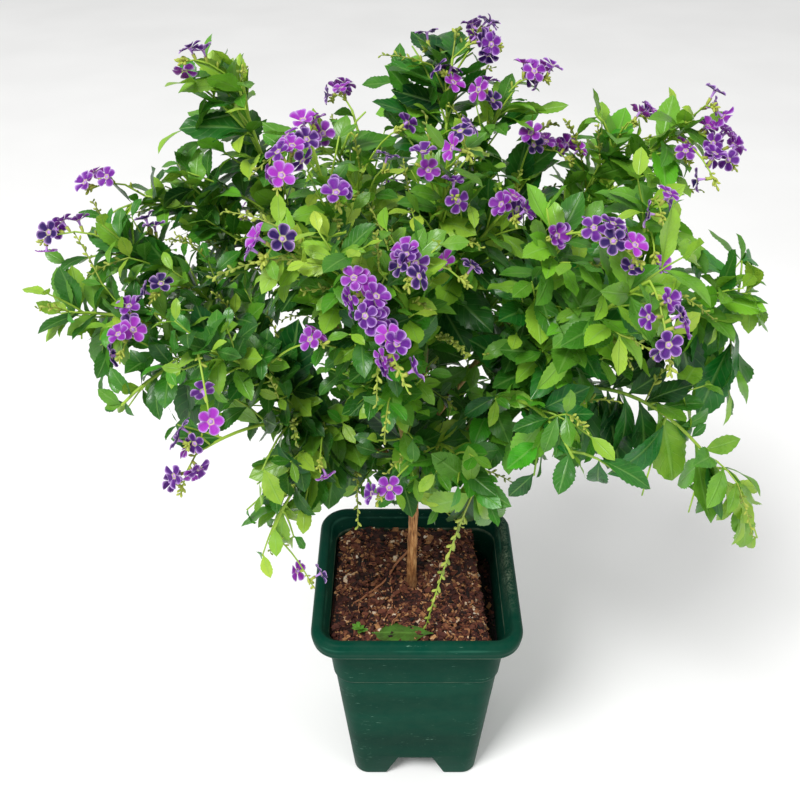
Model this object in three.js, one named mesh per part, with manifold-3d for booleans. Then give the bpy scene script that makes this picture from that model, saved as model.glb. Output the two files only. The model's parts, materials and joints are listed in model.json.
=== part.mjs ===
// A potted golden dewdrop (Duranta erecta): a square green nursery pot on four corner feet, potting mix,
// one woody trunk with forking limbs, arching leafy stems, and sprays of five-petalled violet flowers.
// Millimetres, +Z up, +X to the right and +Y away from the viewer. The origin is on the ground under the
// middle of the pot.
import * as THREE from "three";
import { mergeVertices } from "three/addons/utils/BufferGeometryUtils.js";
import Module from "manifold-3d";

const wasm = await Module();
wasm.setup();

const GAP = 0.3; // clearance between pieces that rest on or meet each other
const OVERRUN = 8; // how far a cutting shape runs past what it cuts
const UP = new THREE.Vector3(0, 0, 1);
const CROWN_CENTRE = new THREE.Vector3(0, 0, 430); // leaves and flowers face away from here
const GOLDEN_ANGLE = THREE.MathUtils.degToRad(137.5);

// The pot is a tapered square with round corners. Tunnels under the floor leave four hollow corner feet.
const POT = {
  baseHalf: 58.5,
  taper: 0.0915, // growth of the half width for each millimetre of height
  wall: 1.8,
  floor: 2.2,
  collarFrom: 146, // the upper third stands this little proud of the lower body
  collarStep: 1.2,
  rimUnder: 194,
  rimHalf: 90,
  baseCorner: 14,
  wallCorner: 20,
  rimCorner: 26,
  cornerSteps: 4,
  tunnelTopHalf: 16,
  tunnelBaseHalf: 28,
  tunnelHeight: 26,
  drainRadius: 5,
  drainSides: 6,
  drainOffsets: [-36, 36],
};

// How far in from the rim's half width, and up from its underside, the lip's outline runs
const LIP = [
  [1.6, 0],
  [1.2, 4.6],
  [0, 6],
  [0, 11],
  [1.6, 14.4],
  [5, 16],
  [8.6, 15],
  [10.2, 12],
];

// The potting mix, a little lower than the rim and sunk where it has shrunk from the right-hand wall
const SOIL = {
  level: 195,
  bump: 1.8,
  hollowDepth: 32,
  hollowFrom: 55,
  hollowWidth: 8,
  hollowSlant: 0.05,
  leftDip: 6, // along the left wall, past x = -60
  cells: 7,
};

const TRUNK = {
  points: [
    [-3, 0, 128],
    [-4, 0, 196],
    [-2, 3, 300],
    [3, 6, 402],
  ],
  footRadius: 4.7,
  topRadius: 3.4,
  sides: 6,
  steps: 5,
};

// Limbs leave the trunk at a height and end where the leafy stems go on; rise lifts the middle of the curve
const LIMBS = {
  west: { height: 318, end: [-92, -42, 418], rise: 6 },
  north_west: { height: 342, end: [-78, 56, 448], rise: 4 },
  south: { height: 308, end: [-14, -88, 436], rise: -6 },
  east: { height: 328, end: [84, -40, 424], rise: 4 },
  north_east: { height: 352, end: [82, 50, 452], rise: 2 },
  north: { height: 334, end: [-2, 92, 438], rise: -4 },
  leader: { height: 394, end: [8, -6, 500], rise: 0 },
};
const LIMB = { baseRadius: 3.0, endRadius: 2.2, sides: 4, steps: 3 };
const STUBS = [11, 16, 22, 30, 40]; // lengths tried for the foot of a stem that is one with its limb

// Leafy stems: the limb or stem they grow from, how far along it, the tip, and the rise of the arch.
// One that grows from another leafy stem is a fork of it and one piece with it.
const STEMS = {
  upper_left: { from: "north_west", at: 1, tip: [-126, 36, 632], rise: -8 },
  left_back: { from: "north_west", at: 0.72, tip: [-200, 28, 556], rise: 24 },
  back_left: { from: "north_west", at: 0.86, tip: [-140, 162, 482], rise: 30 },
  left_back_low: { from: "back_left", at: 0.24, tip: [-206, 92, 412], rise: 30 },
  left: { from: "west", at: 0.8, tip: [-216, -16, 540], rise: 20 },
  left_low: { from: "west", at: 1, tip: [-246, -58, 506], rise: 24 },
  left_under: { from: "left_low", at: 0.3, tip: [-204, -96, 456], rise: 12 },
  left_front: { from: "west", at: 0.74, tip: [-140, -128, 520], rise: 10 },
  low_left: { from: "west", at: 0.4, tip: [-148, -110, 430], rise: 22 },
  low_left_hanging: { from: "west", at: 0.26, tip: [-112, -86, 330], rise: 44 },
  front_left: { from: "south", at: 0.86, tip: [-66, -90, 636], rise: -6 },
  front_left_fork: { from: "front_left", at: 0.4, tip: [-76, -122, 584], rise: 6 },
  front: { from: "south", at: 1, tip: [-52, -148, 594], rise: 14 },
  front_upper: { from: "front", at: 0.16, tip: [-8, -118, 578], rise: 6 },
  low_front: { from: "south", at: 0.36, tip: [38, -104, 386], rise: 34 },
  front_right: { from: "east", at: 0.7, tip: [84, -100, 584], rise: 8 },
  right_front: { from: "east", at: 0.86, tip: [132, -134, 570], rise: 12 },
  low_right_front: { from: "east", at: 0.4, tip: [98, -142, 446], rise: 40 },
  right: { from: "east", at: 1, tip: [240, -14, 498], rise: 22 },
  right_fork: { from: "right", at: 0.42, tip: [148, -46, 580], rise: 6 },
  right_hanging: { from: "east", at: 1, tip: [238, -92, 360], rise: 46 },
  upper_right: { from: "north_east", at: 1, tip: [146, 58, 586], rise: 4 },
  upper_right_fork: { from: "upper_right", at: 0.4, tip: [186, 32, 602], rise: 10 },
  right_inner: { from: "north_east", at: 0.6, tip: [76, 56, 576], rise: 0 },
  back_right: { from: "north_east", at: 0.8, tip: [146, 160, 478], rise: 30 },
  right_back_low: { from: "back_right", at: 0.26, tip: [206, 94, 404], rise: 34 },
  top: { from: "leader", at: 1, tip: [22, 50, 648], rise: -6 },
  top_right: { from: "leader", at: 0.8, tip: [58, 40, 624], rise: 4 },
  top_left: { from: "leader", at: 0.55, tip: [-58, -14, 608], rise: 0 },
  top_front: { from: "leader", at: 0.3, tip: [16, -66, 628], rise: 0 },
  centre_right: { from: "top_front", at: 0.3, tip: [52, -58, 580], rise: 4 },
  back: { from: "north", at: 1, tip: [-24, 168, 500], rise: 24 },
  back_low: { from: "back", at: 0.24, tip: [56, 176, 372], rise: 36 },
  back_top: { from: "north", at: 0.7, tip: [-52, 118, 590], rise: 4 },
};
const STEM = { baseRadius: 1.9, tipRadius: 1.2, sides: 3, stepLength: 48 };

// A blade's toothed side as shares of its length and of its half width; lengths in millimetres
const LEAF = {
  length: 42,
  halfWidth: 11.5,
  thickness: 0.72,
  toothedSide: [
    [0.3, 0.84],
    [0.6, 1.0],
    [0.68, 0.74],
  ],
  fold: 0.3, // how far the sides rise for each millimetre of half width
  droop: 0.17,
  spacing: 60, // between opposite pairs along a stem
  firstAt: 0.2,
  lastAt: 0.95,
  rootFrom: 0.35, // from the stem's centre line, so that the two of a pair do not cross there
  probeFrom: 2.6, // past this far from the centre line the two of a pair keep clear of each other
  steepest: 0.9,
  tipScale: 0.74,
  forward: 0.6,
  pairTurn: 1.2,
  outwards: 0.7, // how much a blade faces away from the middle of the crown, next to 1 for upwards
  turns: [0, 0.42, -0.42, 0.84, -0.84, 1.26, -1.26], // tried in order round the stem to clear the neighbours
  lifts: [0.05, -0.5, 0.6],
  smallest: 0.92, // seeded spread of the lengths
  largest: 1.16,
  wander: 0.25, // seeded spread of the angle round the stem, in radians either way
};

// Flower sprays: the stem they leave, how far along it, where the tip hangs, and the number of flowers
const SPRAYS = {
  upper_left: { from: "upper_left", at: 1, tip: [-162, 26, 652], flowers: 3 },
  left_back: { from: "left_back", at: 1, tip: [-236, 14, 566], flowers: 3 },
  left: { from: "left", at: 1, tip: [-262, -26, 544], flowers: 4 },
  left_low: { from: "left_low", at: 0.62, tip: [-196, -108, 500], flowers: 3 },
  left_front: { from: "left_front", at: 1, tip: [-130, -160, 480], flowers: 2 },
  left_front_side: { from: "left_front", at: 0.55, tip: [-60, -146, 534], flowers: 2 },
  low_left: { from: "low_left", at: 1, tip: [-166, -122, 400], flowers: 4 },
  low_left_hanging: { from: "low_left_hanging", at: 1, tip: [-84, -80, 270], flowers: 2 },
  front_left: { from: "front_left", at: 1, tip: [-82, -138, 628], flowers: 7 },
  front_left_fork: { from: "front_left_fork", at: 1, tip: [-92, -150, 590], flowers: 3 },
  front: { from: "front", at: 1, tip: [-10, -200, 536], flowers: 9 },
  front_upper: { from: "front_upper", at: 1, tip: [-10, -160, 580], flowers: 4 },
  front_low: { from: "low_front", at: 0.5, tip: [-30, -132, 400], flowers: 2 },
  seed_buds: { from: "low_front", at: 1, tip: [8, -64, 210], flowers: 0 },
  front_right: { from: "front_right", at: 1, tip: [126, -132, 580], flowers: 8 },
  right_front: { from: "right_front", at: 1, tip: [140, -178, 534], flowers: 6 },
  right_fork: { from: "right_fork", at: 1, tip: [148, -84, 586], flowers: 3 },
  upper_right: { from: "upper_right", at: 1, tip: [164, 58, 604], flowers: 2 },
  upper_right_fork: { from: "upper_right_fork", at: 1, tip: [214, -6, 590], flowers: 8 },
  right_inner: { from: "right_inner", at: 1, tip: [112, 46, 574], flowers: 5 },
  right_back_low: { from: "right_back_low", at: 1, tip: [232, 104, 380], flowers: 3 },
  top: { from: "top", at: 1, tip: [54, 40, 658], flowers: 6 },
  top_right: { from: "top_right", at: 1, tip: [88, 38, 636], flowers: 5 },
  top_left: { from: "top_left", at: 1, tip: [-76, -34, 622], flowers: 4 },
  top_front: { from: "top_front", at: 1, tip: [26, -98, 632], flowers: 3 },
  centre_right: { from: "centre_right", at: 1, tip: [56, -92, 588], flowers: 4 },
  back: { from: "back", at: 1, tip: [-18, 196, 484], flowers: 4 },
  back_top: { from: "back_top", at: 1, tip: [-70, 142, 590], flowers: 4 },
  back_right: { from: "back_right", at: 1, tip: [170, 188, 452], flowers: 4 },
  back_left: { from: "back_left", at: 1, tip: [-162, 188, 456], flowers: 4 },
};
const SPRAY = { baseRadius: 1.25, tipRadius: 1.05, sides: 3, stepLength: 26, rise: 8, stub: 5 };
const FLOWER = {
  radius: 8.2,
  footRadius: 0.48, // at the stalk's centre line, where the tube ends inside the stalk
  headFrom: 3.5, // past this far from the stalk's centre line a flower keeps clear of its own stalk
  petals: 5,
  petalHalfAngle: 0.37,
  notchShare: 0.4,
  shoulderDrop: 0.6,
  throatDepth: 1.1,
  tubeRadius: 1.3,
  tubeTurn: 0.84, // puts each side of the tube under the middle of its third of the petals, in radians
  undersideDrop: 2.8,
  firstAt: 0.26,
  lastAt: 0.92,
  spacing: 9, // along the stalk, or closer where the stalk is short of room
  shifts: [0, 0.05, -0.05],
  forward: 0.2,
  leans: [
    [0.45, 0.6],
    [0, 0.6],
    [0.8, 0],
    [-0.4, 0],
  ], // how much it leans upwards and away from the crown's middle, tried in order
  turns: [0, 0.5, -0.5, 1, -1, 1.5, -1.5, 2, -2, 2.5, -2.5, 3],
  tubes: [8.5, 11, 6.5], // tube lengths tried in order
  smallest: 0.9, // seeded spread of the radius
  largest: 1.06,
  wander: 0.8, // seeded spread of the angle round the stalk, in radians
};
const BUD = { length: 6, radius: 1.3, count: 10, firstAt: 0.2, lastAt: 0.98, forward: 0.7 };

// A thin root that shows on the potting mix, and a leaf that has dropped by the front wall
const ROOT = {
  points: [
    [2, 62, 188],
    [-2, 50, 196],
    [-24, 10, 197],
    [-50, -22, 196],
    [-60, -28, 188],
  ],
  radius: 1.2,
  sides: 5,
  steps: 8,
};
const FALLEN_LEAF = { root: [15, -64, 197.6], towards: [-1, 0.06, 0.02], facing: [0, 0.3, 1], length: 50 };
const FOOT_HOLE = { x: -3.6, margin: 1.2, depth: 90, sides: 10 };

const COLOURS = {
  pot: { color: 0x1d5a41, roughness: 0.42, metalness: 0 },
  soil: { color: 0x4a2a1c, roughness: 0.95, metalness: 0 },
  bark: { color: 0xa27a50, roughness: 0.8, metalness: 0 },
  root: { color: 0x8c5a3c, roughness: 0.85, metalness: 0 },
  leaf: { color: 0x2f7d22, roughness: 0.45, metalness: 0 },
  flower: { color: 0x6a22b8, roughness: 0.6, metalness: 0 },
  bud: { color: 0xa9b53c, roughness: 0.6, metalness: 0 },
};

const point = (p) => new THREE.Vector3(...p);
const entries = Object.entries;

// Draws numbers between two bounds, the same at each run for the same seed
function seededSpread(seed) {
  let state = seed >>> 0;
  return (low, high) => {
    state = (state + 0x6d2b79f5) >>> 0;
    let mixed = Math.imul(state ^ (state >>> 15), state | 1);
    mixed ^= mixed + Math.imul(mixed ^ (mixed >>> 7), mixed | 61);
    return low + ((high - low) * ((mixed ^ (mixed >>> 14)) >>> 0)) / 2 ** 32;
  };
}

// Solids
function solidFrom(points, triangles) {
  return new wasm.Manifold(
    new wasm.Mesh({
      numProp: 3,
      vertProperties: new Float32Array(points.flatMap((p) => [p.x, p.y, p.z])),
      triVerts: new Uint32Array(triangles.flat()),
    }),
  );
}

function solidFromGeometry(geometry) {
  const bare = new THREE.BufferGeometry();
  bare.setAttribute("position", geometry.getAttribute("position"));
  bare.setIndex(geometry.index);
  const merged = mergeVertices(bare, 1e-4);
  return new wasm.Manifold(
    new wasm.Mesh({
      numProp: 3,
      vertProperties: merged.attributes.position.array,
      triVerts: new Uint32Array(merged.index.array),
    }),
  );
}

function geometryFrom(solid) {
  const mesh = solid.getMesh();
  return new THREE.BufferGeometry()
    .setAttribute("position", new THREE.BufferAttribute(mesh.vertProperties, 3))
    .setIndex(new THREE.BufferAttribute(mesh.triVerts, 1));
}

const fuse = (pieces) => pieces.reduce((all, piece) => all.add(piece));

// A closed skin over rings of equal count, each ring running anticlockwise seen from its far end
function skin(rings) {
  const count = rings[0].length;
  const triangles = [];
  for (let r = 0; r + 1 < rings.length; r++) {
    for (let i = 0; i < count; i++) {
      const a = r * count + i;
      const b = r * count + ((i + 1) % count);
      triangles.push([a, b, b + count], [a, b + count, a + count]);
    }
  }
  const last = (rings.length - 1) * count;
  for (let i = 1; i + 1 < count; i++) {
    triangles.push([0, i + 1, i], [last, last + i, last + i + 1]);
  }
  return solidFrom(rings.flat(), triangles);
}

// The world axis least in line with a direction
function leastAligned(direction) {
  const sizes = direction.toArray().map(Math.abs);
  return new THREE.Vector3().setComponent(sizes.indexOf(Math.min(...sizes)), 1);
}

function squareTo(direction) {
  return leastAligned(direction).cross(direction).normalize();
}

const fromCrown = (place) => place.clone().sub(CROWN_CENTRE).normalize();

// A direction round a stem, leaning forwards along it and lifted towards the light
function outward(tangent, angle, forward, lift) {
  const across = squareTo(tangent);
  const over = new THREE.Vector3().crossVectors(tangent, across);
  return across
    .multiplyScalar(Math.cos(angle))
    .addScaledVector(over, Math.sin(angle))
    .addScaledVector(tangent, forward)
    .addScaledVector(UP, lift)
    .normalize();
}

// A tapering shoot along a run of points: the trunk, a limb, a stem or a spray's stalk
class Shoot {
  constructor(points, baseRadius, tipRadius, sides) {
    Object.assign(this, { points, baseRadius, tipRadius, sides });
    this.reference = leastAligned(points.at(-1).clone().sub(points[0]).normalize());
  }

  // An arch from a start to a tip, its middle lifted by the rise
  static arch(start, tip, rise, { baseRadius, tipRadius, sides }, steps) {
    const middle = start.clone().lerp(tip, 0.5).addScaledVector(UP, 2 * rise);
    const curve = new THREE.QuadraticBezierCurve3(start, middle, tip);
    return new Shoot(curve.getPoints(steps), baseRadius, tipRadius, sides);
  }

  get length() {
    return this.points.slice(1).reduce((sum, p, i) => sum + p.distanceTo(this.points[i]), 0);
  }

  at(share) {
    const run = share * (this.points.length - 1);
    const step = Math.min(Math.floor(run), this.points.length - 2);
    return this.points[step].clone().lerp(this.points[step + 1], run - step);
  }

  tangent(share) {
    const reach = 0.3 / (this.points.length - 1);
    const [from, to] = [Math.max(0, share - reach), Math.min(1, share + reach)];
    return this.at(to).sub(this.at(from)).normalize();
  }

  ring(share) {
    const tangent = this.tangent(share);
    const across = this.reference.clone().projectOnPlane(tangent).normalize();
    const over = new THREE.Vector3().crossVectors(tangent, across);
    const radius = THREE.MathUtils.lerp(this.baseRadius, this.tipRadius, share);
    return Array.from({ length: this.sides }, (_, i) => {
      const angle = (i / this.sides) * 2 * Math.PI;
      return this.at(share)
        .addScaledVector(across, radius * Math.cos(angle))
        .addScaledVector(over, radius * Math.sin(angle));
    });
  }

  tube(from = 0, to = 1) {
    const steps = this.points.length - 1;
    const between = this.points.map((_, i) => i / steps).filter((t) => t > from && t < to);
    return skin([from, ...between, to].map((t) => this.ring(t)));
  }
}

// The pot
function squareRing(half, corner, z) {
  const signs = [
    [1, 1],
    [-1, 1],
    [-1, -1],
    [1, -1],
  ];
  return signs.flatMap(([x, y], quarter) =>
    Array.from({ length: POT.cornerSteps + 1 }, (_, i) => {
      const angle = ((quarter + i / POT.cornerSteps) * Math.PI) / 2;
      return new THREE.Vector3(
        x * (half - corner) + corner * Math.cos(angle),
        y * (half - corner) + corner * Math.sin(angle),
        z,
      );
    }),
  );
}

function wallRing(z, inset, step = 0) {
  const share = z / POT.rimUnder;
  const corner = THREE.MathUtils.lerp(POT.baseCorner, POT.wallCorner, share);
  return squareRing(POT.baseHalf + POT.taper * z + step - inset, corner - inset, z);
}

// The wall's own rings from a height up to under the rim, with the small step out at the collar
function wallRings(from, inset) {
  const { collarFrom, collarStep, rimUnder } = POT;
  return [
    wallRing(from, inset),
    wallRing(collarFrom, inset),
    wallRing(collarFrom + 1, inset, collarStep),
    wallRing(rimUnder, inset, collarStep),
  ];
}

// Two crossing tunnels under the pot, grown by a margin
function tunnels(margin) {
  const shape = new THREE.Shape([
    new THREE.Vector2(-POT.tunnelBaseHalf - margin, -1),
    new THREE.Vector2(POT.tunnelBaseHalf + margin, -1),
    new THREE.Vector2(POT.tunnelTopHalf + margin, POT.tunnelHeight + margin),
    new THREE.Vector2(-POT.tunnelTopHalf - margin, POT.tunnelHeight + margin),
  ]);
  const bar = new THREE.ExtrudeGeometry(shape, { depth: 4 * POT.baseHalf, bevelEnabled: false });
  bar.translate(0, 0, -2 * POT.baseHalf);
  bar.rotateX(Math.PI / 2);
  const solid = solidFromGeometry(bar);
  return solid.add(solid.rotate([0, 0, 90]));
}

function drains() {
  const { drainRadius, drainSides, drainOffsets, tunnelHeight } = POT;
  const places = drainOffsets.flatMap((offset) => [
    [offset, 0],
    [0, offset],
  ]);
  return places.map(([x, y]) => {
    const hole = new THREE.CylinderGeometry(drainRadius, drainRadius, 2 * OVERRUN, drainSides);
    hole.rotateX(Math.PI / 2);
    hole.translate(x, y, tunnelHeight);
    return solidFromGeometry(hole);
  });
}

function pot() {
  const { rimUnder, rimHalf, rimCorner, wall, floor } = POT;
  const lip = LIP.map(([inward, up]) => squareRing(rimHalf - inward, rimCorner - inward, rimUnder + up));
  const [mouthIn, mouthUp] = LIP.at(-1);
  const mouth = (up) => squareRing(rimHalf - mouthIn, rimCorner - mouthIn, rimUnder + mouthUp + up);
  const outside = skin([...wallRings(0, 0), ...lip]).subtract(tunnels(0));
  const inside = skin([...wallRings(floor, wall), mouth(0), mouth(OVERRUN)]).subtract(tunnels(wall));
  return drains().reduce((body, hole) => body.subtract(hole), outside.subtract(inside));
}

// The potting mix
function soilHeight(x, y) {
  const { level, bump, hollowDepth, hollowFrom, hollowWidth, hollowSlant, leftDip } = SOIL;
  const lumps =
    Math.sin(x * 0.31 + 1.3) * Math.sin(y * 0.27 + 0.4) + 0.7 * Math.sin(x * 0.13 - y * 0.19 + 2);
  const edge = hollowFrom - hollowSlant * y;
  const hollow = hollowDepth * THREE.MathUtils.smoothstep(x, edge, edge + hollowWidth);
  return level + bump * lumps - hollow - leftDip * THREE.MathUtils.smoothstep(-x, 60, 76);
}

// A block under a height field, as a closed solid with a flat bottom
function heightBlock(half, bottom, cells, height) {
  const side = cells + 1;
  const points = [];
  for (let j = 0; j < side; j++) {
    for (let i = 0; i < side; i++) {
      const x = half * ((2 * i) / cells - 1);
      const y = half * ((2 * j) / cells - 1);
      points.push(new THREE.Vector3(x, y, height(x, y)));
    }
  }
  const triangles = [];
  for (let j = 0; j < cells; j++) {
    for (let i = 0; i < cells; i++) {
      const a = j * side + i;
      triangles.push([a, a + 1, a + side + 1], [a, a + side + 1, a + side]);
    }
  }
  const edge = [];
  for (let i = 0; i < cells; i++) edge.push(i);
  for (let j = 0; j < cells; j++) edge.push(j * side + cells);
  for (let i = cells; i > 0; i--) edge.push(cells * side + i);
  for (let j = cells; j > 0; j--) edge.push(j * side);
  const under = points.length;
  points.push(...edge.map((i) => new THREE.Vector3(points[i].x, points[i].y, bottom)));
  points.push(new THREE.Vector3(0, 0, bottom));
  const middle = points.length - 1;
  edge.forEach((a, k) => {
    const next = (k + 1) % edge.length;
    triangles.push([a, under + k, under + next], [a, under + next, edge[next]]);
    triangles.push([middle, under + next, under + k]);
  });
  return solidFrom(points, triangles);
}

function soil(keepClear) {
  const inset = POT.wall + GAP + 0.05;
  const bottom = POT.floor + GAP;
  const top = wallRing(POT.rimUnder + OVERRUN, inset, POT.collarStep);
  const mould = skin([...wallRings(bottom, inset), top]);
  const block = heightBlock(POT.rimHalf - OVERRUN, bottom - 1, SOIL.cells, soilHeight);
  const body = block.intersect(mould).subtract(tunnels(inset));
  return keepClear.reduce((rest, piece) => rest.subtract(piece), body);
}

// The woody frame: trunk, limbs and the stubs that carry the leafy stems
const trunkCurve = new THREE.CatmullRomCurve3(TRUNK.points.map(point));
const trunkShoot = new Shoot(
  trunkCurve.getPoints(TRUNK.steps),
  TRUNK.footRadius,
  TRUNK.topRadius,
  TRUNK.sides,
);

function trunkPointAt(height) {
  const above = trunkShoot.points.findIndex((p) => p.z > height);
  const [low, high] = [trunkShoot.points[above - 1], trunkShoot.points[above]];
  return low.clone().lerp(high, (height - low.z) / (high.z - low.z));
}

const shoots = {};
for (const [name, { height, end, rise }] of entries(LIMBS)) {
  const size = { baseRadius: LIMB.baseRadius, tipRadius: LIMB.endRadius, sides: LIMB.sides };
  shoots[name] = Shoot.arch(trunkPointAt(height), point(end), rise, size, LIMB.steps);
}
for (const [name, { from, at, tip, rise }] of entries(STEMS)) {
  const start = shoots[from].at(at);
  const steps = Math.max(3, Math.round(start.distanceTo(point(tip)) / STEM.stepLength));
  shoots[name] = Shoot.arch(start, point(tip), rise, STEM, steps);
}

const isFork = (name) => !(STEMS[name].from in LIMBS);
const nodeOf = (name) => (isFork(name) ? nodeOf(STEMS[name].from) : name);

// The woody body grows stem by stem: each foot is as long as its stem needs to come clear of the rest
const stubShares = {};

function trunk() {
  let body = fuse([trunkShoot.tube(), ...Object.keys(LIMBS).map((name) => shoots[name].tube())]);
  for (const name of Object.keys(STEMS).filter((stem) => !isFork(stem))) {
    const shares = STUBS.map((length) => length / shoots[name].length);
    const reach = GAP / shoots[name].length;
    stubShares[name] =
      shares.find((share) => body.intersect(shoots[name].tube(share + reach, 1)).isEmpty()) ?? shares[0];
    body = body.add(shoots[name].tube(0, stubShares[name]));
  }
  return body;
}

// One blade: a thin hollow-faced plate with toothed sides. Its root is a narrow edge to sink in the stem.
function leafBlade(root, along, facing, length, above, below = above) {
  const across = new THREE.Vector3().crossVectors(along, facing).normalize();
  const normal = new THREE.Vector3().crossVectors(across, along).normalize();
  const halfWidth = (LEAF.halfWidth / LEAF.length) * length;
  const at = (u, v) =>
    root
      .clone()
      .addScaledVector(along, u * length)
      .addScaledVector(across, v * halfWidth)
      .addScaledVector(normal, Math.abs(v) * halfWidth * LEAF.fold - LEAF.droop * u * u * length);
  const side = LEAF.toothedSide;
  const sheet = [
    at(0, 0),
    ...side.map(([u, v]) => at(u, v)),
    at(1, 0),
    ...side.toReversed().map(([u, v]) => at(u, -v)),
  ];
  const count = sheet.length;
  const points = [
    ...sheet.map((p) => p.clone().addScaledVector(normal, above)),
    ...sheet.map((p) => p.clone().addScaledVector(normal, -below)),
  ];
  // A flat base and middle, with a raised wing on each side, split alike on both faces
  const facets = [
    [0, 1, 7],
    [1, 4, 7],
    [1, 2, 3],
    [1, 3, 4],
    [4, 5, 7],
    [5, 6, 7],
  ];
  const triangles = facets.flatMap(([a, b, c]) => [
    [a, b, c],
    [count + a, count + c, count + b],
  ]);
  for (let i = 0; i < count; i++) {
    const next = (i + 1) % count;
    triangles.push([i, count + i, count + next], [i, count + next, next]);
  }
  return solidFrom(points, triangles);
}

// A five-petalled flower: a shallow saucer with notches between the petals, on a slim tube
function flower(root, axis, radius, tube, footAt = 0) {
  const across = squareTo(axis);
  const over = new THREE.Vector3().crossVectors(axis, across);
  const at = (angle, r, height) =>
    root
      .clone()
      .addScaledVector(axis, tube + height)
      .addScaledVector(across, r * Math.cos(angle))
      .addScaledVector(over, r * Math.sin(angle));
  const points = [];
  for (let k = 0; k < FLOWER.petals; k++) {
    const middle = ((2 * Math.PI) / FLOWER.petals) * k;
    points.push(at(middle - FLOWER.petalHalfAngle, radius, -FLOWER.shoulderDrop));
    points.push(at(middle + FLOWER.petalHalfAngle, radius, -FLOWER.shoulderDrop));
    points.push(at(middle + Math.PI / FLOWER.petals, radius * FLOWER.notchShare, 0));
  }
  const rim = points.length;
  const throat = rim;
  const neck = throat + 1;
  const foot = neck + 3;
  points.push(at(0, 0, -FLOWER.throatDepth));
  const thirds = [0, 1, 2].map((k) => (2 * Math.PI * k) / 3 + FLOWER.tubeTurn);
  points.push(...thirds.map((angle) => at(angle, FLOWER.tubeRadius, -FLOWER.undersideDrop)));
  points.push(...thirds.map((angle) => at(angle, FLOWER.footRadius, footAt - tube)));
  const triangles = [[foot, foot + 2, foot + 1]];
  for (let i = 0; i < rim; i++) {
    const next = (i + 1) % rim;
    const k = Math.floor((i * 3) / rim);
    const nextK = Math.floor((next * 3) / rim);
    triangles.push([throat, i, next], [next, i, neck + k]);
    if (nextK !== k) {
      triangles.push([next, neck + k, neck + nextK]);
      triangles.push([neck + nextK, neck + k, foot + k], [neck + nextK, foot + k, foot + nextK]);
    }
  }
  return solidFrom(points, triangles);
}

function bud(root, axis) {
  const across = squareTo(axis);
  const over = new THREE.Vector3().crossVectors(axis, across);
  const shoulder = (angle) =>
    root
      .clone()
      .addScaledVector(axis, BUD.length * 0.62)
      .addScaledVector(across, BUD.radius * Math.cos(angle))
      .addScaledVector(over, BUD.radius * Math.sin(angle));
  const thirds = [0, 1, 2].map((k) => shoulder((2 * Math.PI * k) / 3));
  const ends = [BUD.length, -GAP].map((reach) => root.clone().addScaledVector(axis, reach));
  const triangles = [0, 1, 2].flatMap((i) => {
    const next = (i + 1) % 3;
    return [
      [3, i, next],
      [4, next, i],
    ];
  });
  return solidFrom([...thirds, ...ends], triangles);
}

// What is already in place, so that a new blade or flower can be turned clear of it
const placed = [];

function place(node, solid, carries = false) {
  const entry = { node, solid, carries, box: solid.boundingBox() };
  placed.push(entry);
  return entry;
}

const boxesMeet = (a, b) => [0, 1, 2].every((k) => a.min[k] <= b.max[k] && b.min[k] <= a.max[k]);

// A piece may cut into the stem that carries it, and into nothing else but the one it is told to pass over
function isClear(solid, node, passOver = null) {
  const box = solid.boundingBox();
  return placed.every(
    (other) =>
      other === passOver ||
      (other.carries && other.node === node) ||
      !boxesMeet(box, other.box) ||
      other.solid.intersect(solid).isEmpty(),
  );
}

// Every pose tried for a flower, the likeliest first
function flowerPoses() {
  const { leans, shifts, tubes, turns } = FLOWER;
  return leans.flatMap((lean) =>
    shifts.flatMap((shift) =>
      tubes.flatMap((tube) => turns.map((turn) => [...lean, tube, turn, shift])),
    ),
  );
}

// Flowers sit round a spray's stalk by the golden angle and look out from the crown
function sprayFlowers(shoot, count, node, seed) {
  const spread = seededSpread(seed);
  const stalk = shoot.tube();
  const step = Math.min(FLOWER.spacing / shoot.length, (FLOWER.lastAt - FLOWER.firstAt) / (count - 1));
  const poses = flowerPoses();
  const flowers = [];
  for (let k = 0; k < count; k++) {
    const t = FLOWER.lastAt - (count - 1 - k) * step;
    const angle = k * GOLDEN_ANGLE + spread(0, FLOWER.wander);
    const radius = FLOWER.radius * spread(FLOWER.smallest, FLOWER.largest);
    const shapeOf = ([lift, outwards, tube, turn, shift], footAt = 0) => {
      const root = shoot.at(t + shift);
      const axis = outward(shoot.tangent(t + shift), angle + turn, FLOWER.forward, lift)
        .addScaledVector(fromCrown(root), outwards)
        .normalize();
      return flower(root, axis, radius, tube, footAt);
    };
    const pose = poses.find(
      (tried) =>
        isClear(shapeOf(tried), node) && stalk.intersect(shapeOf(tried, FLOWER.headFrom)).isEmpty(),
    );
    if (!pose) throw new Error("no room for flower " + k + " of " + node);
    flowers.push(shapeOf(pose));
    place(node, flowers.at(-1));
  }
  return flowers;
}

// The one spike that hangs without flowers carries buds along its length
function spikeBuds(shoot) {
  return Array.from({ length: BUD.count }, (_, k) => {
    const t = THREE.MathUtils.lerp(BUD.firstAt, BUD.lastAt, k / (BUD.count - 1));
    return bud(shoot.at(t), outward(shoot.tangent(t), k * GOLDEN_ANGLE, BUD.forward, 0));
  });
}

// Every direction tried for a blade, the likeliest first
function leafDirections(tangent, angle) {
  return LEAF.lifts.flatMap((lift) =>
    LEAF.turns.map((turn) => outward(tangent, angle + turn, LEAF.forward, lift)),
  );
}

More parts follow.
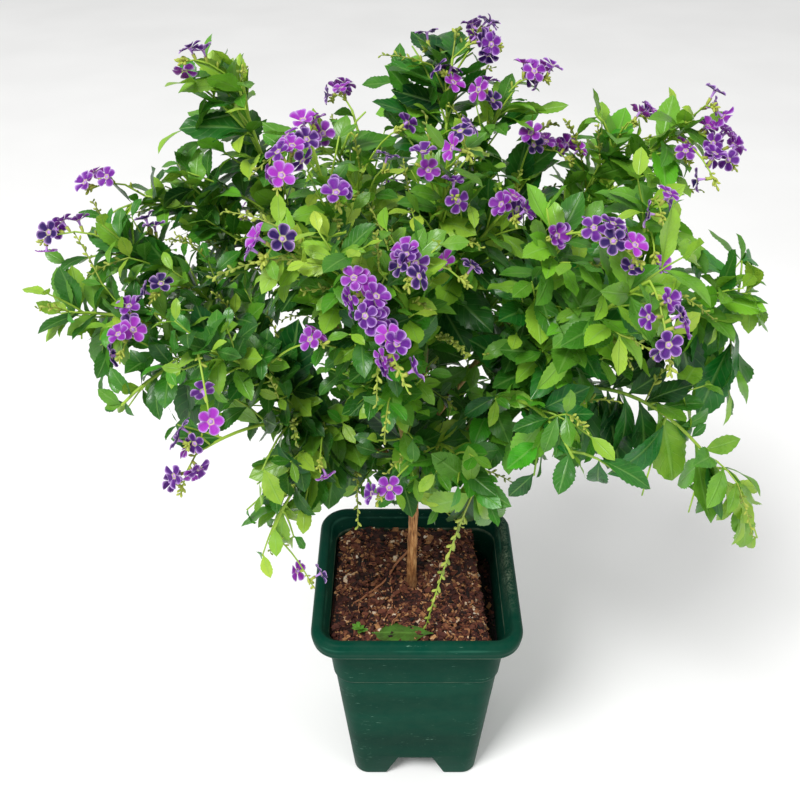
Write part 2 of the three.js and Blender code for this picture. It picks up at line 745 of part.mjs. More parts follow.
// Leaves sit in opposite pairs, each pair turned from the last, and face the light.
// A blade that finds no room in any pose is left out.
function stemLeaves(shoot, node, seed) {
  const spread = seededSpread(seed);
  const pairs = Math.max(2, Math.round((shoot.length * (1 - LEAF.firstAt)) / LEAF.spacing));
  const half = LEAF.thickness / 2;
  const leaves = [];
  let twin = null;
  for (let k = 0; k < 2 * pairs; k++) {
    const pair = Math.floor(k / 2);
    const t = THREE.MathUtils.lerp(LEAF.firstAt, LEAF.lastAt, pair / (pairs - 1));
    const angle = (k % 2) * Math.PI + pair * LEAF.pairTurn + spread(-LEAF.wander, LEAF.wander);
    const length =
      LEAF.length * THREE.MathUtils.lerp(1, LEAF.tipScale, t) * spread(LEAF.smallest, LEAF.largest);
    const root = shoot.at(t);
    const facing = UP.clone().addScaledVector(fromCrown(root), LEAF.outwards).normalize();
    const bladeAlong = (along, from, margin) =>
      leafBlade(root.clone().addScaledVector(along, from), along, facing, length, margin);
    const opposite = k % 2 ? twin : null;
    const along = leafDirections(shoot.tangent(t), angle).find(
      (tried) =>
        Math.abs(tried.dot(facing)) < LEAF.steepest &&
        isClear(bladeAlong(tried, LEAF.rootFrom, half + GAP), node, opposite) &&
        !opposite?.solid.intersect(bladeAlong(tried, LEAF.probeFrom, half + GAP)).volume(),
    );
    if (along) {
      leaves.push(bladeAlong(along, LEAF.rootFrom, half));
      twin = place(node, leaves.at(-1));
    } else {
      twin = null;
    }
  }
  return leaves;
}

// Assembly
const group = new THREE.Group();
group.name = "potted_golden_dewdrop";

function addNode(name, solid, colour) {
  const mesh = new THREE.Mesh(geometryFrom(solid), new THREE.MeshStandardMaterial(COLOURS[colour]));
  mesh.name = name;
  group.add(mesh);
}

const rootPoints = new THREE.CatmullRomCurve3(ROOT.points.map(point)).getPoints(ROOT.steps);
const rootTube = (margin) =>
  new Shoot(rootPoints, ROOT.radius + margin, 0.7 * ROOT.radius + margin, ROOT.sides).tube();

function fallenLeaf(above, below, scale = 1) {
  const { root, towards, facing, length } = FALLEN_LEAF;
  return leafBlade(point(root), point(towards).normalize(), point(facing), scale * length, above, below);
}

// A plain hole for the trunk's foot, open at the top
function footHole() {
  const { x, margin, depth, sides } = FOOT_HOLE;
  const radius = TRUNK.footRadius + margin;
  const hole = new THREE.CylinderGeometry(radius, radius, depth, sides);
  hole.rotateX(Math.PI / 2);
  hole.translate(x, 0, TRUNK.points[0][2] - GAP + depth / 2);
  return solidFromGeometry(hole);
}

const halfBlade = LEAF.thickness / 2;
addNode("pot", pot(), "pot");
addNode("soil", soil([footHole(), rootTube(GAP + 0.15), fallenLeaf(9, halfBlade + GAP, 1.04)]), "soil");
addNode("trunk", trunk(), "bark");
addNode("surface_root", rootTube(0), "root");
addNode("fallen_leaf", fallenLeaf(halfBlade, halfBlade), "leaf");
group.children.forEach((mesh) => place(mesh.name, solidFromGeometry(mesh.geometry)));

// Stems and stalks go in first, then every flower, and leaves fill the room that is left
const greenPieces = {};
for (const name of Object.keys(STEMS)) {
  const from = isFork(name) ? 0 : stubShares[name] + GAP / shoots[name].length;
  const tube = shoots[name].tube(from, 1);
  place(nodeOf(name), tube, true);
  (greenPieces[nodeOf(name)] ??= []).push(tube);
}

const stalks = {};
for (const [name, { from, at, tip }] of entries(SPRAYS)) {
  const start = shoots[from].at(at);
  const steps = Math.max(2, Math.round(start.distanceTo(point(tip)) / SPRAY.stepLength));
  const stalk = Shoot.arch(start, point(tip), SPRAY.rise, SPRAY, steps);
  const stub = SPRAY.stub / stalk.length;
  const foot = stalk.tube(0, stub);
  place(nodeOf(from), foot, true);
  greenPieces[nodeOf(from)].push(foot);
  stalks[name] = { shoot: stalk, tube: stalk.tube(stub + GAP / stalk.length, 1) };
  place("spray_" + name, stalks[name].tube, true);
}

const sprayPieces = {};
entries(SPRAYS).forEach(([name, { flowers }], index) => {
  const { shoot, tube } = stalks[name];
  const node = "spray_" + name;
  const heads = flowers ? sprayFlowers(shoot, flowers, node, 600 + index) : spikeBuds(shoot);
  if (!flowers) heads.forEach((solid) => place(node, solid));
  sprayPieces[name] = [tube, ...heads];
});

Object.keys(STEMS).forEach((name, index) => {
  const node = nodeOf(name);
  greenPieces[node].push(...stemLeaves(shoots[name], node, 100 + index));
});

for (const [node, pieces] of entries(greenPieces)) {
  addNode("leafy_stem_" + node, fuse(pieces), "leaf");
}
for (const [name, { flowers }] of entries(SPRAYS)) {
  addNode("spray_" + name, fuse(sprayPieces[name]), flowers ? "flower" : "bud");
}

export default group;
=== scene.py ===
"""Looks of a potted golden dewdrop (Duranta erecta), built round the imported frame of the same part.

The plant's own tables are in millimetres, as in the part's source, and every mesh is written in metres.
+Z is up, +X runs to the right and +Y away from the viewer. The origin is on the ground under the pot.
"""
import json
import logging
import math
from dataclasses import dataclass, replace
from enum import Enum
from functools import cache, partial
from typing import Callable, NamedTuple

import bpy
import numpy as np
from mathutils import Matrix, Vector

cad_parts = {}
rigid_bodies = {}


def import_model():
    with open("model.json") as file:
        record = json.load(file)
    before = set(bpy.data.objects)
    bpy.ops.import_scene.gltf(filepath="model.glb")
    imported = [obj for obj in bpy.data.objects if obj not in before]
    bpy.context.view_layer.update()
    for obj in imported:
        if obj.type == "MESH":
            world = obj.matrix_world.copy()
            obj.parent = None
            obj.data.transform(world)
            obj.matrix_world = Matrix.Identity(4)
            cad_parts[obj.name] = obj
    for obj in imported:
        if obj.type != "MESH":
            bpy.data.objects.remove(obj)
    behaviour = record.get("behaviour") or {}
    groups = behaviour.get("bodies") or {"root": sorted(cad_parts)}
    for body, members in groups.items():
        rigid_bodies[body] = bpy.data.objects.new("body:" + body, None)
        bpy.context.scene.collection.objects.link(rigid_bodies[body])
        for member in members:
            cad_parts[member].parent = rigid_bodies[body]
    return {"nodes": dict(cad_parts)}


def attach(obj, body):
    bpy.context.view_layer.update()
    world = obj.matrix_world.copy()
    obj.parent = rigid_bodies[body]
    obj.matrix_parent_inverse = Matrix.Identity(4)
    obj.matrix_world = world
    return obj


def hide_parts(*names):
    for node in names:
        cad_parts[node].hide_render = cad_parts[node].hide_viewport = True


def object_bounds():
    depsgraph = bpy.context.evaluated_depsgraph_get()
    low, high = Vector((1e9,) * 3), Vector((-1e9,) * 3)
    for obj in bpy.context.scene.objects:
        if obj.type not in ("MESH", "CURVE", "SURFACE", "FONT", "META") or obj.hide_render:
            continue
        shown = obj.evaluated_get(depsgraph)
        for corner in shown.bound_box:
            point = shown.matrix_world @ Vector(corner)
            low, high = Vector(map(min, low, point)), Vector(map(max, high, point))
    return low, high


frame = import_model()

CAD_BOX = [list(corner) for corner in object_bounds()]
MM = 0.001
BODY = "root"
UP = np.array([0.0, 0.0, 1.0])
CROWN_CENTRE = np.array([0.0, 0.0, 430.0])
GOLDEN_ANGLE = math.radians(137.5)
LEAF_SEED = 4100
BLOOM_SEED = 5200
SOIL_SEED = 6300

log = logging.getLogger("dewdrop")


# Numbers and directions


def point(values: tuple) -> np.ndarray:
    """Gives a tuple of millimetres as an array of floats."""
    return np.array(values, float)


def unit(vector: np.ndarray) -> np.ndarray:
    """Gives a vector, or each row of several, at length 1."""
    return vector / np.maximum(np.linalg.norm(vector, axis=-1, keepdims=True), 1e-9)


def smoothstep(value: np.ndarray, low: float, high: float) -> np.ndarray:
    """Rises smoothly from 0 at low to 1 at high."""
    share = np.clip((value - low) / (high - low), 0.0, 1.0)
    return share * share * (3 - 2 * share)


def least_aligned(direction: np.ndarray) -> np.ndarray:
    """Gives the world axis that is least in line with a direction.

    Args:
        direction: the direction, of any length.

    Returns:
        One of the three axes.
    """
    axis = np.zeros(3)
    axis[int(np.argmin(np.abs(direction)))] = 1.0
    return axis


def outward(tangent: np.ndarray, angle: float, forward: float, lift: float) -> np.ndarray:
    """Gives a direction round a stem.

    Args:
        tangent: the stem's own direction.
        angle: the angle round the stem, in radians.
        forward: how much the direction leans along the stem.
        lift: how much it leans upwards.

    Returns:
        The direction, at length 1.
    """
    across = unit(np.cross(least_aligned(tangent), tangent))
    over = np.cross(tangent, across)
    return unit(across * math.cos(angle) + over * math.sin(angle) + tangent * forward + UP * lift)


def from_crown(place: np.ndarray) -> np.ndarray:
    """Gives the direction from the crown's middle to a place."""
    return unit(place - CROWN_CENTRE)


def within_box(points: np.ndarray, margin: float) -> bool:
    """Says whether points in millimetres all lie inside the part's box, a margin away from its sides."""
    low, high = (np.array(corner) / MM for corner in CAD_BOX)
    return bool(((points > low + margin) & (points < high - margin)).all())


def ripple(x: np.ndarray, y: np.ndarray, z: np.ndarray, wavelength: float, seed: int) -> np.ndarray:
    """Gives a smooth seeded noise between about -1 and 1.

    Args:
        x: first coordinates.
        y: second coordinates.
        z: third coordinates.
        wavelength: the size of the largest lumps, in the unit of the coordinates.
        seed: picks one pattern.

    Returns:
        The noise at each point.
    """
    rng = np.random.default_rng(seed)
    # The sum of the waves rarely passes 5
    waves, height = 14, 5.0
    total = np.zeros(np.shape(x))
    for _ in range(waves):
        turn = unit(rng.normal(size=3)) * 2 * math.pi / (wavelength * rng.uniform(0.45, 1.0))
        total = total + np.sin(turn[0] * x + turn[1] * y + turn[2] * z + rng.uniform(0, 2 * math.pi))
    return total / height


# The photograph's viewpoint


@dataclass(frozen=True)
class Viewpoint:
    """Where the photograph was taken from, in millimetres, degrees and pixels of its 800 x 800 frame."""

    location: tuple = (-14.4, -659.0, 840.0)
    pitch: float = 34.0
    focal_pixels: float = 1000.0
    frame: float = 800.0
    sensor_mm: float = 36.0

    def axes(self) -> tuple[np.ndarray, np.ndarray]:
        """Gives the camera's own directions.

        Returns:
            The direction it looks in, and the one that is up in its picture.
        """
        pitch = math.radians(self.pitch)
        ahead = np.array([0.0, math.cos(pitch), -math.sin(pitch)])
        return ahead, np.array([0.0, math.sin(pitch), math.cos(pitch)])

    def pixels(self, places: np.ndarray) -> tuple[np.ndarray, np.ndarray]:
        """Gives where places fall in the photograph.

        Args:
            places: points in millimetres, one a row.

        Returns:
            Their columns and their rows, in pixels.
        """
        ahead, over = self.axes()
        reach = places - point(self.location)
        depth = reach @ ahead
        half = self.frame / 2
        column = half + self.focal_pixels * reach[..., 0] / depth
        row = half - self.focal_pixels * (reach @ over) / depth
        return column, row

    def place(self, column: float, row: float, depth: float) -> np.ndarray:
        """Gives the place that falls on a pixel of the photograph.

        Args:
            column: the pixel's column.
            row: its row.
            depth: the place's Y, in millimetres.

        Returns:
            The place, in millimetres.
        """
        ahead, over = self.axes()
        half = self.frame / 2
        across = np.array([(column - half) / self.focal_pixels, 0.0, 0.0])
        sight = ahead + across + over * (half - row) / self.focal_pixels
        return point(self.location) + sight * (depth - self.location[1]) / sight[1]

    def place_camera(self) -> None:
        """Makes the scene's camera at this viewpoint."""
        data = bpy.data.cameras.new("camera")
        data.sensor_width = self.sensor_mm
        data.lens = self.sensor_mm * self.focal_pixels / self.frame
        data.clip_start = 0.01
        data.clip_end = 20.0
        camera = bpy.data.objects.new("camera", data)
        camera.location = [value * MM for value in self.location]
        camera.rotation_euler = (math.radians(90.0 - self.pitch), 0.0, 0.0)
        bpy.context.scene.collection.objects.link(camera)
        bpy.context.scene.camera = camera


VIEWPOINT = Viewpoint()


# Meshes


@dataclass
class Patch:
    """A piece of mesh: points in millimetres, faces of four corners or of three and a -1, and tags."""

    points: np.ndarray
    faces: np.ndarray
    form: np.ndarray | None = None

    def __post_init__(self) -> None:
        """Gives a patch that comes without tags a tag of zeros."""
        if self.form is None:
            self.form = np.zeros((len(self.points), 3))


class MeshPile:
    """Gathers patches until they become one mesh with two tags a point, called form and tone."""

    def __init__(self) -> None:
        """Starts empty."""
        self.points: list[np.ndarray] = []
        self.faces: list[np.ndarray] = []
        self.slots: list[np.ndarray] = []
        self.forms: list[np.ndarray] = []
        self.tones: list[np.ndarray] = []
        self.count = 0

    def add(self, patch: Patch, slot: int = 0, tone: float | np.ndarray = 0.5) -> None:
        """Adds one patch.

        Args:
            patch: what to add.
            slot: the material slot of its faces.
            tone: one number for the patch, or one for each point.
        """
        size = len(patch.points)
        self.points.append(patch.points)
        self.faces.append(np.where(patch.faces >= 0, patch.faces + self.count, -1))
        self.slots.append(np.full(len(patch.faces), slot, np.int32))
        self.forms.append(patch.form)
        self.tones.append(np.broadcast_to(tone, (size,)))
        self.count += size

    def build(self, name: str, *finishes: "Palette", sharp_angle: float = 180.0) -> bpy.types.Object:
        """Makes the object from all that was added.

        Args:
            name: the object's name.
            finishes: its finishes, in the order of the slots.
            sharp_angle: edges steeper than this, in degrees, stay sharp.

        Returns:
            The linked object, at the origin.
        """
        points = (np.concatenate(self.points) * MM).astype(np.float32)
        faces = np.concatenate(self.faces)
        corners = (faces >= 0).sum(1)
        loops = faces[faces >= 0].astype(np.int32)
        starts = np.concatenate([[0], np.cumsum(corners)[:-1]]).astype(np.int32)
        mesh = bpy.data.meshes.new(name)
        mesh.vertices.add(len(points))
        mesh.vertices.foreach_set("co", points.ravel())
        mesh.loops.add(len(loops))
        mesh.loops.foreach_set("vertex_index", loops)
        mesh.polygons.add(len(faces))
        mesh.polygons.foreach_set("loop_start", starts)
        mesh.polygons.foreach_set("material_index", np.concatenate(self.slots))
        mesh.polygons.foreach_set("use_smooth", np.ones(len(faces), bool))
        form = mesh.attributes.new("form", "FLOAT_VECTOR", "POINT")
        form.data.foreach_set("vector", np.concatenate(self.forms).astype(np.float32).ravel())
        tone = mesh.attributes.new("tone", "FLOAT", "POINT")
        tone.data.foreach_set("value", np.concatenate(self.tones).astype(np.float32))
        mesh.update(calc_edges=True)
        mesh.validate()
        if sharp_angle < 180.0:
            mesh.set_sharp_from_angle(angle=math.radians(sharp_angle))
        for finish in finishes:
            mesh.materials.append(material(finish))
        piece = bpy.data.objects.new(name, mesh)
        bpy.context.scene.collection.objects.link(piece)
        return piece


def grid_faces(rows: int, columns: int, closed: bool) -> np.ndarray:
    """Gives the faces of a grid of points.

    Args:
        rows: how many rows of points.
        columns: how many points in a row.
        closed: whether each row is a ring.

    Returns:
        Faces of four corners.
    """
    across = np.arange(columns if closed else columns - 1)
    down = np.arange(rows - 1)[:, None] * columns
    first = down + across
    second = down + (across + 1) % columns
    return np.stack([first, second, second + columns, first + columns], -1).reshape(-1, 4)


def fan_faces(first: int, count: int, hub: int, closed: bool, flip: bool = False) -> np.ndarray:
    """Gives the triangles from a run of points to one point.

    Args:
        first: the run's first point.
        count: how many points it has.
        hub: the one point.
        closed: whether the run is a ring.
        flip: turns the triangles over.

    Returns:
        Faces of three corners and a -1.
    """
    steps = np.arange(count if closed else count - 1)
    one = first + steps
    two = first + (steps + 1) % count
    if flip:
        one, two = two, one
    return np.stack([one, two, np.full(len(steps), hub), np.full(len(steps), -1)], -1)


def capped(points: np.ndarray, size: int, hubs: list) -> Patch:
    """Makes a closed shape from a stack of rings, with a fan of triangles at each end.

    Args:
        points: the rings' points, one ring after the other.
        size: how many points a ring has.
        hubs: the middle point of the first ring's fan and of the last one's.

    Returns:
        The closed shape.
    """
    total = len(points)
    first = fan_faces(0, size, total, True, flip=True)
    last = fan_faces(total - size, size, total + 1, True)
    faces = np.concatenate([grid_faces(total // size, size, True), first, last])
    return Patch(np.vstack([points, hubs]), faces)


def tube(points: np.ndarray, radii: np.ndarray, sides: int, age: float = 0.0) -> Patch:
    """Makes a round tube with a closed tip.

    Args:
        points: the middle line, one point a row.
        radii: the radius at each point.
        sides: how many sides it has.
        age: kept in the tag's third place.

    Returns:
        The tube. Its tag is the share of its length, the share of a turn round it, and the age.
    """
    tangents = unit(np.gradient(points, axis=0))
    reference = least_aligned(unit(points[-1] - points[0]))
    across = unit(reference - (tangents @ reference)[:, None] * tangents)
    over = np.cross(tangents, across)
    turns = np.arange(sides) / sides
    angles = 2 * math.pi * turns
    ring = across[:, None] * np.cos(angles)[:, None] + over[:, None] * np.sin(angles)[:, None]
    body = (points[:, None] + radii[:, None, None] * ring).reshape(-1, 3)
    tip = points[-1] + tangents[-1] * radii[-1] * 0.8
    count = len(points)
    end = fan_faces((count - 1) * sides, sides, count * sides, True)
    faces = np.concatenate([grid_faces(count, sides, True), end])
    shares = np.repeat(np.linspace(0, 1, count), sides)
    form = np.column_stack([shares, np.tile(turns, count), np.full(count * sides, age)])
    form = np.vstack([form, [1.0, 0.0, age]])
    return Patch(np.vstack([body, tip]), faces, form)


@dataclass(frozen=True)
class Arch:
    """A curved shoot from a start to a tip, its middle lifted by the rise. Lengths in millimetres."""

    start: np.ndarray
    tip: np.ndarray
    rise: float

    @property
    def pull(self) -> np.ndarray:
        """Gives the point that lifts the curve's middle."""
        return (self.start + self.tip) / 2 + UP * 2 * self.rise

    def at(self, share: float | np.ndarray) -> np.ndarray:
        """Gives the place at a share of the way, or at each of several shares."""
        along = np.asarray(share, float)[..., None]
        return (1 - along) ** 2 * self.start + 2 * along * (1 - along) * self.pull + along**2 * self.tip

    def tangent(self, share: float | np.ndarray) -> np.ndarray:
        """Gives the direction at a share of the way."""
        along = np.asarray(share, float)[..., None]
        return unit((1 - along) * (self.pull - self.start) + along * (self.tip - self.pull))

    @property
    def length(self) -> float:
        """Gives the length along the curve."""
        line = self.at(np.linspace(0, 1, 13))
        return float(np.linalg.norm(np.diff(line, axis=0), axis=1).sum())

    def tube(self, base: float, end: float, sides: int, age: float = 0.0, since: float = 0.0) -> Patch:
        """Makes the shoot's tube.

        Args:
            base: radius at its foot.
            end: radius at its tip.
            sides: how many sides it has.
            age: kept in the tag.
            since: the share of the way at which it starts.

        Returns:
            The tube.
        """
        count = max(4, int(self.length / 9))
        shares = np.linspace(since, 1.0, count)
        return tube(self.at(shares), base + (end - base) * shares, sides, age)


def set_in(shape: np.ndarray, root: np.ndarray, along: np.ndarray, facing: np.ndarray) -> np.ndarray:
    """Turns a shape that points along +X and faces +Z, and puts it in place.

    Args:
        shape: its points.
        root: where its origin goes.
        along: where its +X goes.
        facing: what its +Z turns to as far as it can.

    Returns:
        The points in place.
    """
    side = unit(np.cross(facing, along))
    normal = np.cross(along, side)
    return root + shape @ np.array([along, side, normal])


# Materials


def linear(code: str) -> tuple[float, float, float, float]:
    """Turns an sRGB hex colour into the linear colour that a shader takes.

    Args:
        code: the colour, such as "#1d4d12".

    Returns:
        Its linear red, green and blue, and a full alpha.
    """
    values = [int(code[place : place + 2], 16) / 255 for place in (1, 3, 5)]
    bent = [v / 12.92 if v <= 0.04045 else ((v + 0.055) / 1.055) ** 2.4 for v in values]
    return (*bent, 1.0)


def add_node(
    tree: bpy.types.NodeTree,
    kind: str,
    inputs: dict | tuple = (),
    stops: tuple = (),
    out: int | str = 0,
    **settings: str | bool,
) -> bpy.types.NodeSocket | None:
    """Adds one shader node.

    Args:
        tree: the node tree it goes in.
        kind: its type, without the leading ShaderNode.
        inputs: its inputs in order, or by name: sockets, values or sRGB hex colours.
        stops: a colour ramp's positions with sRGB hex colours or plain brightnesses.
        out: the name or number of the output that is wanted.
        settings: the node's other settings.

    Returns:
        That output, or nothing where the node has none.
    """
    node = tree.nodes.new("ShaderNode" + kind)
    for name, value in settings.items():
        setattr(node, name, value)
    for key, value in inputs.items() if isinstance(inputs, dict) else enumerate(inputs):
        if isinstance(value, bpy.types.NodeSocket):
            tree.links.new(value, node.inputs[key])
        else:
            node.inputs[key].default_value = linear(value) if isinstance(value, str) else value
    if stops:
        elements = node.color_ramp.elements
        while len(elements) < len(stops):
            elements.new(1.0)
        for element, (position, colour) in zip(elements, stops):
            element.position = position
            element.color = linear(colour) if isinstance(colour, str) else (colour, colour, colour, 1.0)
    return node.outputs[out] if node.outputs else None


# Adds one node to a material and gives the output that is wanted
AddNode = Callable[..., bpy.types.NodeSocket]


@dataclass(frozen=True)
class Finish:
    """A surface finish. The colour, roughness and bump patterns are added by each kind of finish."""

    name: str
    roughness: float = 0.5
    ior: float = 1.45
    glow: str = "#ffffff"
    glow_mix: float = 0.0
    glow_share: float = 0.0

    def make(self) -> bpy.types.Material:
        """Makes the material.

        Returns:
            The material, with the surface that the kind of finish paints.
        """
        material = bpy.data.materials.new(self.name)
        material.use_nodes = True
        material.node_tree.nodes.clear()
        node = partial(add_node, material.node_tree)
        skin = self.paint(node)
        surface = node("BsdfPrincipled", {"Roughness": self.roughness, "IOR": self.ior, **skin})
        if self.glow_share:
            light = node("MixRGB", (self.glow_mix, skin["Base Color"], self.glow))
            through = node("BsdfTranslucent", {"Color": light, "Normal": skin["Normal"]})
            surface = node("MixShader", (self.glow_share, surface, through))
        node("OutputMaterial", (surface,))
        return material

    def paint(self, node: AddNode) -> dict:
        """Adds the finish's patterns.

        Args:
            node: adds one node to the material.

        Returns:
            What the main shader takes, by the names of its inputs.
        """
        raise NotImplementedError


@dataclass(frozen=True)
class LeafCuticle(Finish):
    """A waxy green leaf: glossy, darker with age, with pale veins and a little light coming through."""

    deep: str = "#063217"
    mid: str = "#137320"
    fresh: str = "#4dac20"
    tender: str = "#b8d046"
    vein: str = "#8fbf62"
    glow: str = "#74be38"
    glow_mix: float = 0.55
    glow_share: float = 0.18

    def paint(self, node: AddNode) -> dict:
        """Adds the leaf's colours, veins and bump. The tag holds length, side and youth.

        Args:
            node: adds one node to the material.

        Returns:
            What the main shader takes.
        """
        form = node("Attribute", out="Vector", attribute_name="form")
        tone = node("Attribute", out="Fac", attribute_name="tone")
        length, side, youth = node("SeparateXYZ", (form,)).node.outputs
        aside = node("Math", (side,), operation="ABSOLUTE")
        # Side veins leave the midrib about every eighth of a blade, some 5 mm apart, and sweep forwards
        swept = node("Math", (aside, -0.26, length), operation="MULTIPLY_ADD")
        wave = node("Math", (swept, 50.0), operation="MULTIPLY")
        crest = node("Math", (wave,), operation="SINE")
        lines = node("ValToRGB", (crest,), ((0.0, 0.0), (0.86, 0.0), (1.0, 0.34)))
        midrib = node("ValToRGB", (aside,), ((0.0, 1.0), (0.05, 0.75), (0.12, 0.0)))
        veins = node("Math", (lines, midrib), operation="MAXIMUM")
        # The mottling is about 10 mm across, a quarter of a blade, so that it shows from afar
        place = node("TexCoord", out="Object")
        mottle = node("TexNoise", {"Vector": place, "Scale": 95.0, "Detail": 4.0, "Roughness": 0.6})
        shade = node("Math", (mottle, 0.55, tone), operation="MULTIPLY_ADD")
        shade = node("Math", (shade, 0.28), operation="SUBTRACT")
        grown = node("ValToRGB", (shade,), ((0.12, self.deep), (0.52, self.mid), (0.95, self.fresh)))
        young = node("ValToRGB", (shade,), ((0.1, self.fresh), (0.8, self.tender)))
        colour = node("MixRGB", (youth, grown, young))
        marked = node("Math", (veins, 0.38), operation="MULTIPLY")
        colour = node("MixRGB", (marked, colour, self.vein))
        rough = node("ValToRGB", (mottle,), ((0.3, self.roughness - 0.08), (0.7, self.roughness + 0.12)))
        # The blade swells between its veins
        swell = node("Math", (veins, -1.0, mottle), operation="MULTIPLY_ADD")
        bump = node("Bump", {"Strength": 0.5, "Distance": 0.0006, "Height": swell})
        return {"Base Color": colour, "Roughness": rough, "Normal": bump}


@dataclass(frozen=True)
class GreenSkin(Finish):
    """The skin of young stems, stalks, calyces and buds: matt green, browner where it is older."""

    young: str = "#9bbd3e"
    grown: str = "#5f8f2b"
    woody: str = "#6d5a2e"
    grain: float = 260.0

    def paint(self, node: AddNode) -> dict:
        """Adds the skin's colours. The tag's third place holds youth, from 0 for woody to 1 for tender.

        Args:
            node: adds one node to the material.

        Returns:
            What the main shader takes.
        """
        form = node("Attribute", out="Vector", attribute_name="form")
        tone = node("Attribute", out="Fac", attribute_name="tone")
        youth = node("SeparateXYZ", (form,), out=2)
        # Speckles are 2.5 to 4 mm across, so that each bud and stalk gets a shade of its own
        place = node("TexCoord", out="Object")
        speckle = node("TexNoise", {"Vector": place, "Scale": self.grain, "Detail": 3.0})
        uneven = node("Math", (speckle, 0.5, youth), operation="MULTIPLY_ADD")
        uneven = node("Math", (tone, 0.3, uneven), operation="MULTIPLY_ADD")
        stops = ((0.3, self.woody), (0.62, self.grown), (1.2 / 1.3, self.young))
        colour = node("ValToRGB", (uneven,), stops)
        bump = node("Bump", {"Strength": 0.35, "Distance": 0.0004, "Height": speckle})
        return {"Base Color": colour, "Normal": bump}


@dataclass(frozen=True)
class PetalVelvet(Finish):
    """A velvety violet petal: deep in the middle, brighter outwards, with a pale margin and throat."""

    deep: str = "#2a0b5a"
    rich: str = "#681c92"
    lit: str = "#ac34c2"
    margin: str = "#cda6e6"
    throat: str = "#e6dca8"
    glow_share: float = 0.22

    def paint(self, node: AddNode) -> dict:
        """Adds the petal's colours. The tag holds the reach from the throat, nearness to the rim and side.

        Args:
            node: adds one node to the material.

        Returns:
            What the main shader takes.
        """
        form = node("Attribute", out="Vector", attribute_name="form")
        tone = node("Attribute", out="Fac", attribute_name="tone")
        reach, rim, side = node("SeparateXYZ", (form,)).node.outputs
        # Clouds of colour are about 2.5 mm across, three to a petal
        place = node("TexCoord", out="Object")
        cloud = node("TexNoise", {"Vector": place, "Scale": 420.0, "Detail": 3.0})
        shade = node("Math", (cloud, 0.5, tone), operation="MULTIPLY_ADD")
        shade = node("Math", (shade, 0.25), operation="SUBTRACT")
        flesh = node("ValToRGB", (shade,), ((0.1, self.deep), (0.5, self.rich), (0.95, self.lit)))
        # Faint darker lines run outwards, about 0.8 mm apart where the petal is widest
        lines = node("Math", (side, 26.0), operation="MULTIPLY")
        lines = node("Math", (lines,), operation="SINE")
        lines = node("ValToRGB", (lines,), ((0.4, 0.0), (1.0, 0.3)))
        flesh = node("MixRGB", (lines, flesh, self.deep))
        frayed = node("Math", (cloud, 0.12, rim), operation="MULTIPLY_ADD")
        edge = node("ValToRGB", (frayed,), ((0.58, 0.0), (0.84, 0.3), (1.0, 0.92)))
        # The claw of a petal has no pale margin
        blade = node("ValToRGB", (reach,), ((0.22, 0.15), (0.5, 1.0)))
        edge = node("Math", (edge, blade), operation="MULTIPLY")
        colour = node("MixRGB", (edge, flesh, self.margin))
        heart = node("ValToRGB", (reach,), ((0.0, 0.9), (0.06, 0.6), (0.15, 0.0)))
        colour = node("MixRGB", (heart, colour, self.throat))
        bump = node("Bump", {"Strength": 0.4, "Distance": 0.0003, "Height": lines})
        return {"Base Color": colour, "Normal": bump}


@dataclass(frozen=True)
class SmoothBark(Finish):
    """Tan bark of a young woody stem: fine lengthwise streaks, small pores, darker and damp at the foot."""

    tan: str = "#b37a46"
    pale: str = "#dcab72"
    brown: str = "#6b4224"
    foot: str = "#54351f"
    green: str = "#6f7c3a"
    foot_height: float = 0.2
    green_from: float = 0.33
    green_to: float = 0.46

    def paint(self, node: AddNode) -> dict:
        """Adds streaks along the wood, pores, the damp foot and the greener upper limbs.

        Args:
            node: adds one node to the material.

        Returns:
            What the main shader takes.
        """
        place = node("TexCoord", out="Object")
        height = node("SeparateXYZ", (place,), out=2)
        # Streaks are about 1 mm wide and 15 mm long, and blotches 8 mm across
        stretched = node("Mapping", {"Vector": place, "Scale": (900.0, 900.0, 70.0)})
        streak = node("TexNoise", {"Vector": stretched, "Scale": 1.0, "Detail": 5.0, "Roughness": 0.65})
        blotch = node("TexNoise", {"Vector": place, "Scale": 120.0, "Detail": 3.0})
        mixed = node("Math", (blotch, 0.35, streak), operation="MULTIPLY_ADD")
        colour = node("ValToRGB", (mixed,), ((0.53, self.brown), (0.67, self.tan), (0.83, self.pale)))
        damp = node("MapRange", (height, self.foot_height, self.foot_height + 0.014, 0.7, 0.0))
        colour = node("MixRGB", (damp, colour, self.foot))
        greener = node("MapRange", (height, self.green_from, self.green_to, 0.0, 0.75))
        colour = node("MixRGB", (greener, colour, self.green))
        # Pores lie about 1.6 mm apart round the wood
        pores = node("TexVoronoi", {"Vector": stretched, "Scale": 0.7}, feature="F1")
        relief = node("Math", (streak, 0.7, pores), operation="MULTIPLY_ADD")
        bump = node("Bump", {"Strength": 0.6, "Distance": 0.0006, "Height": relief})
        return {"Base Color": colour, "Normal": bump}


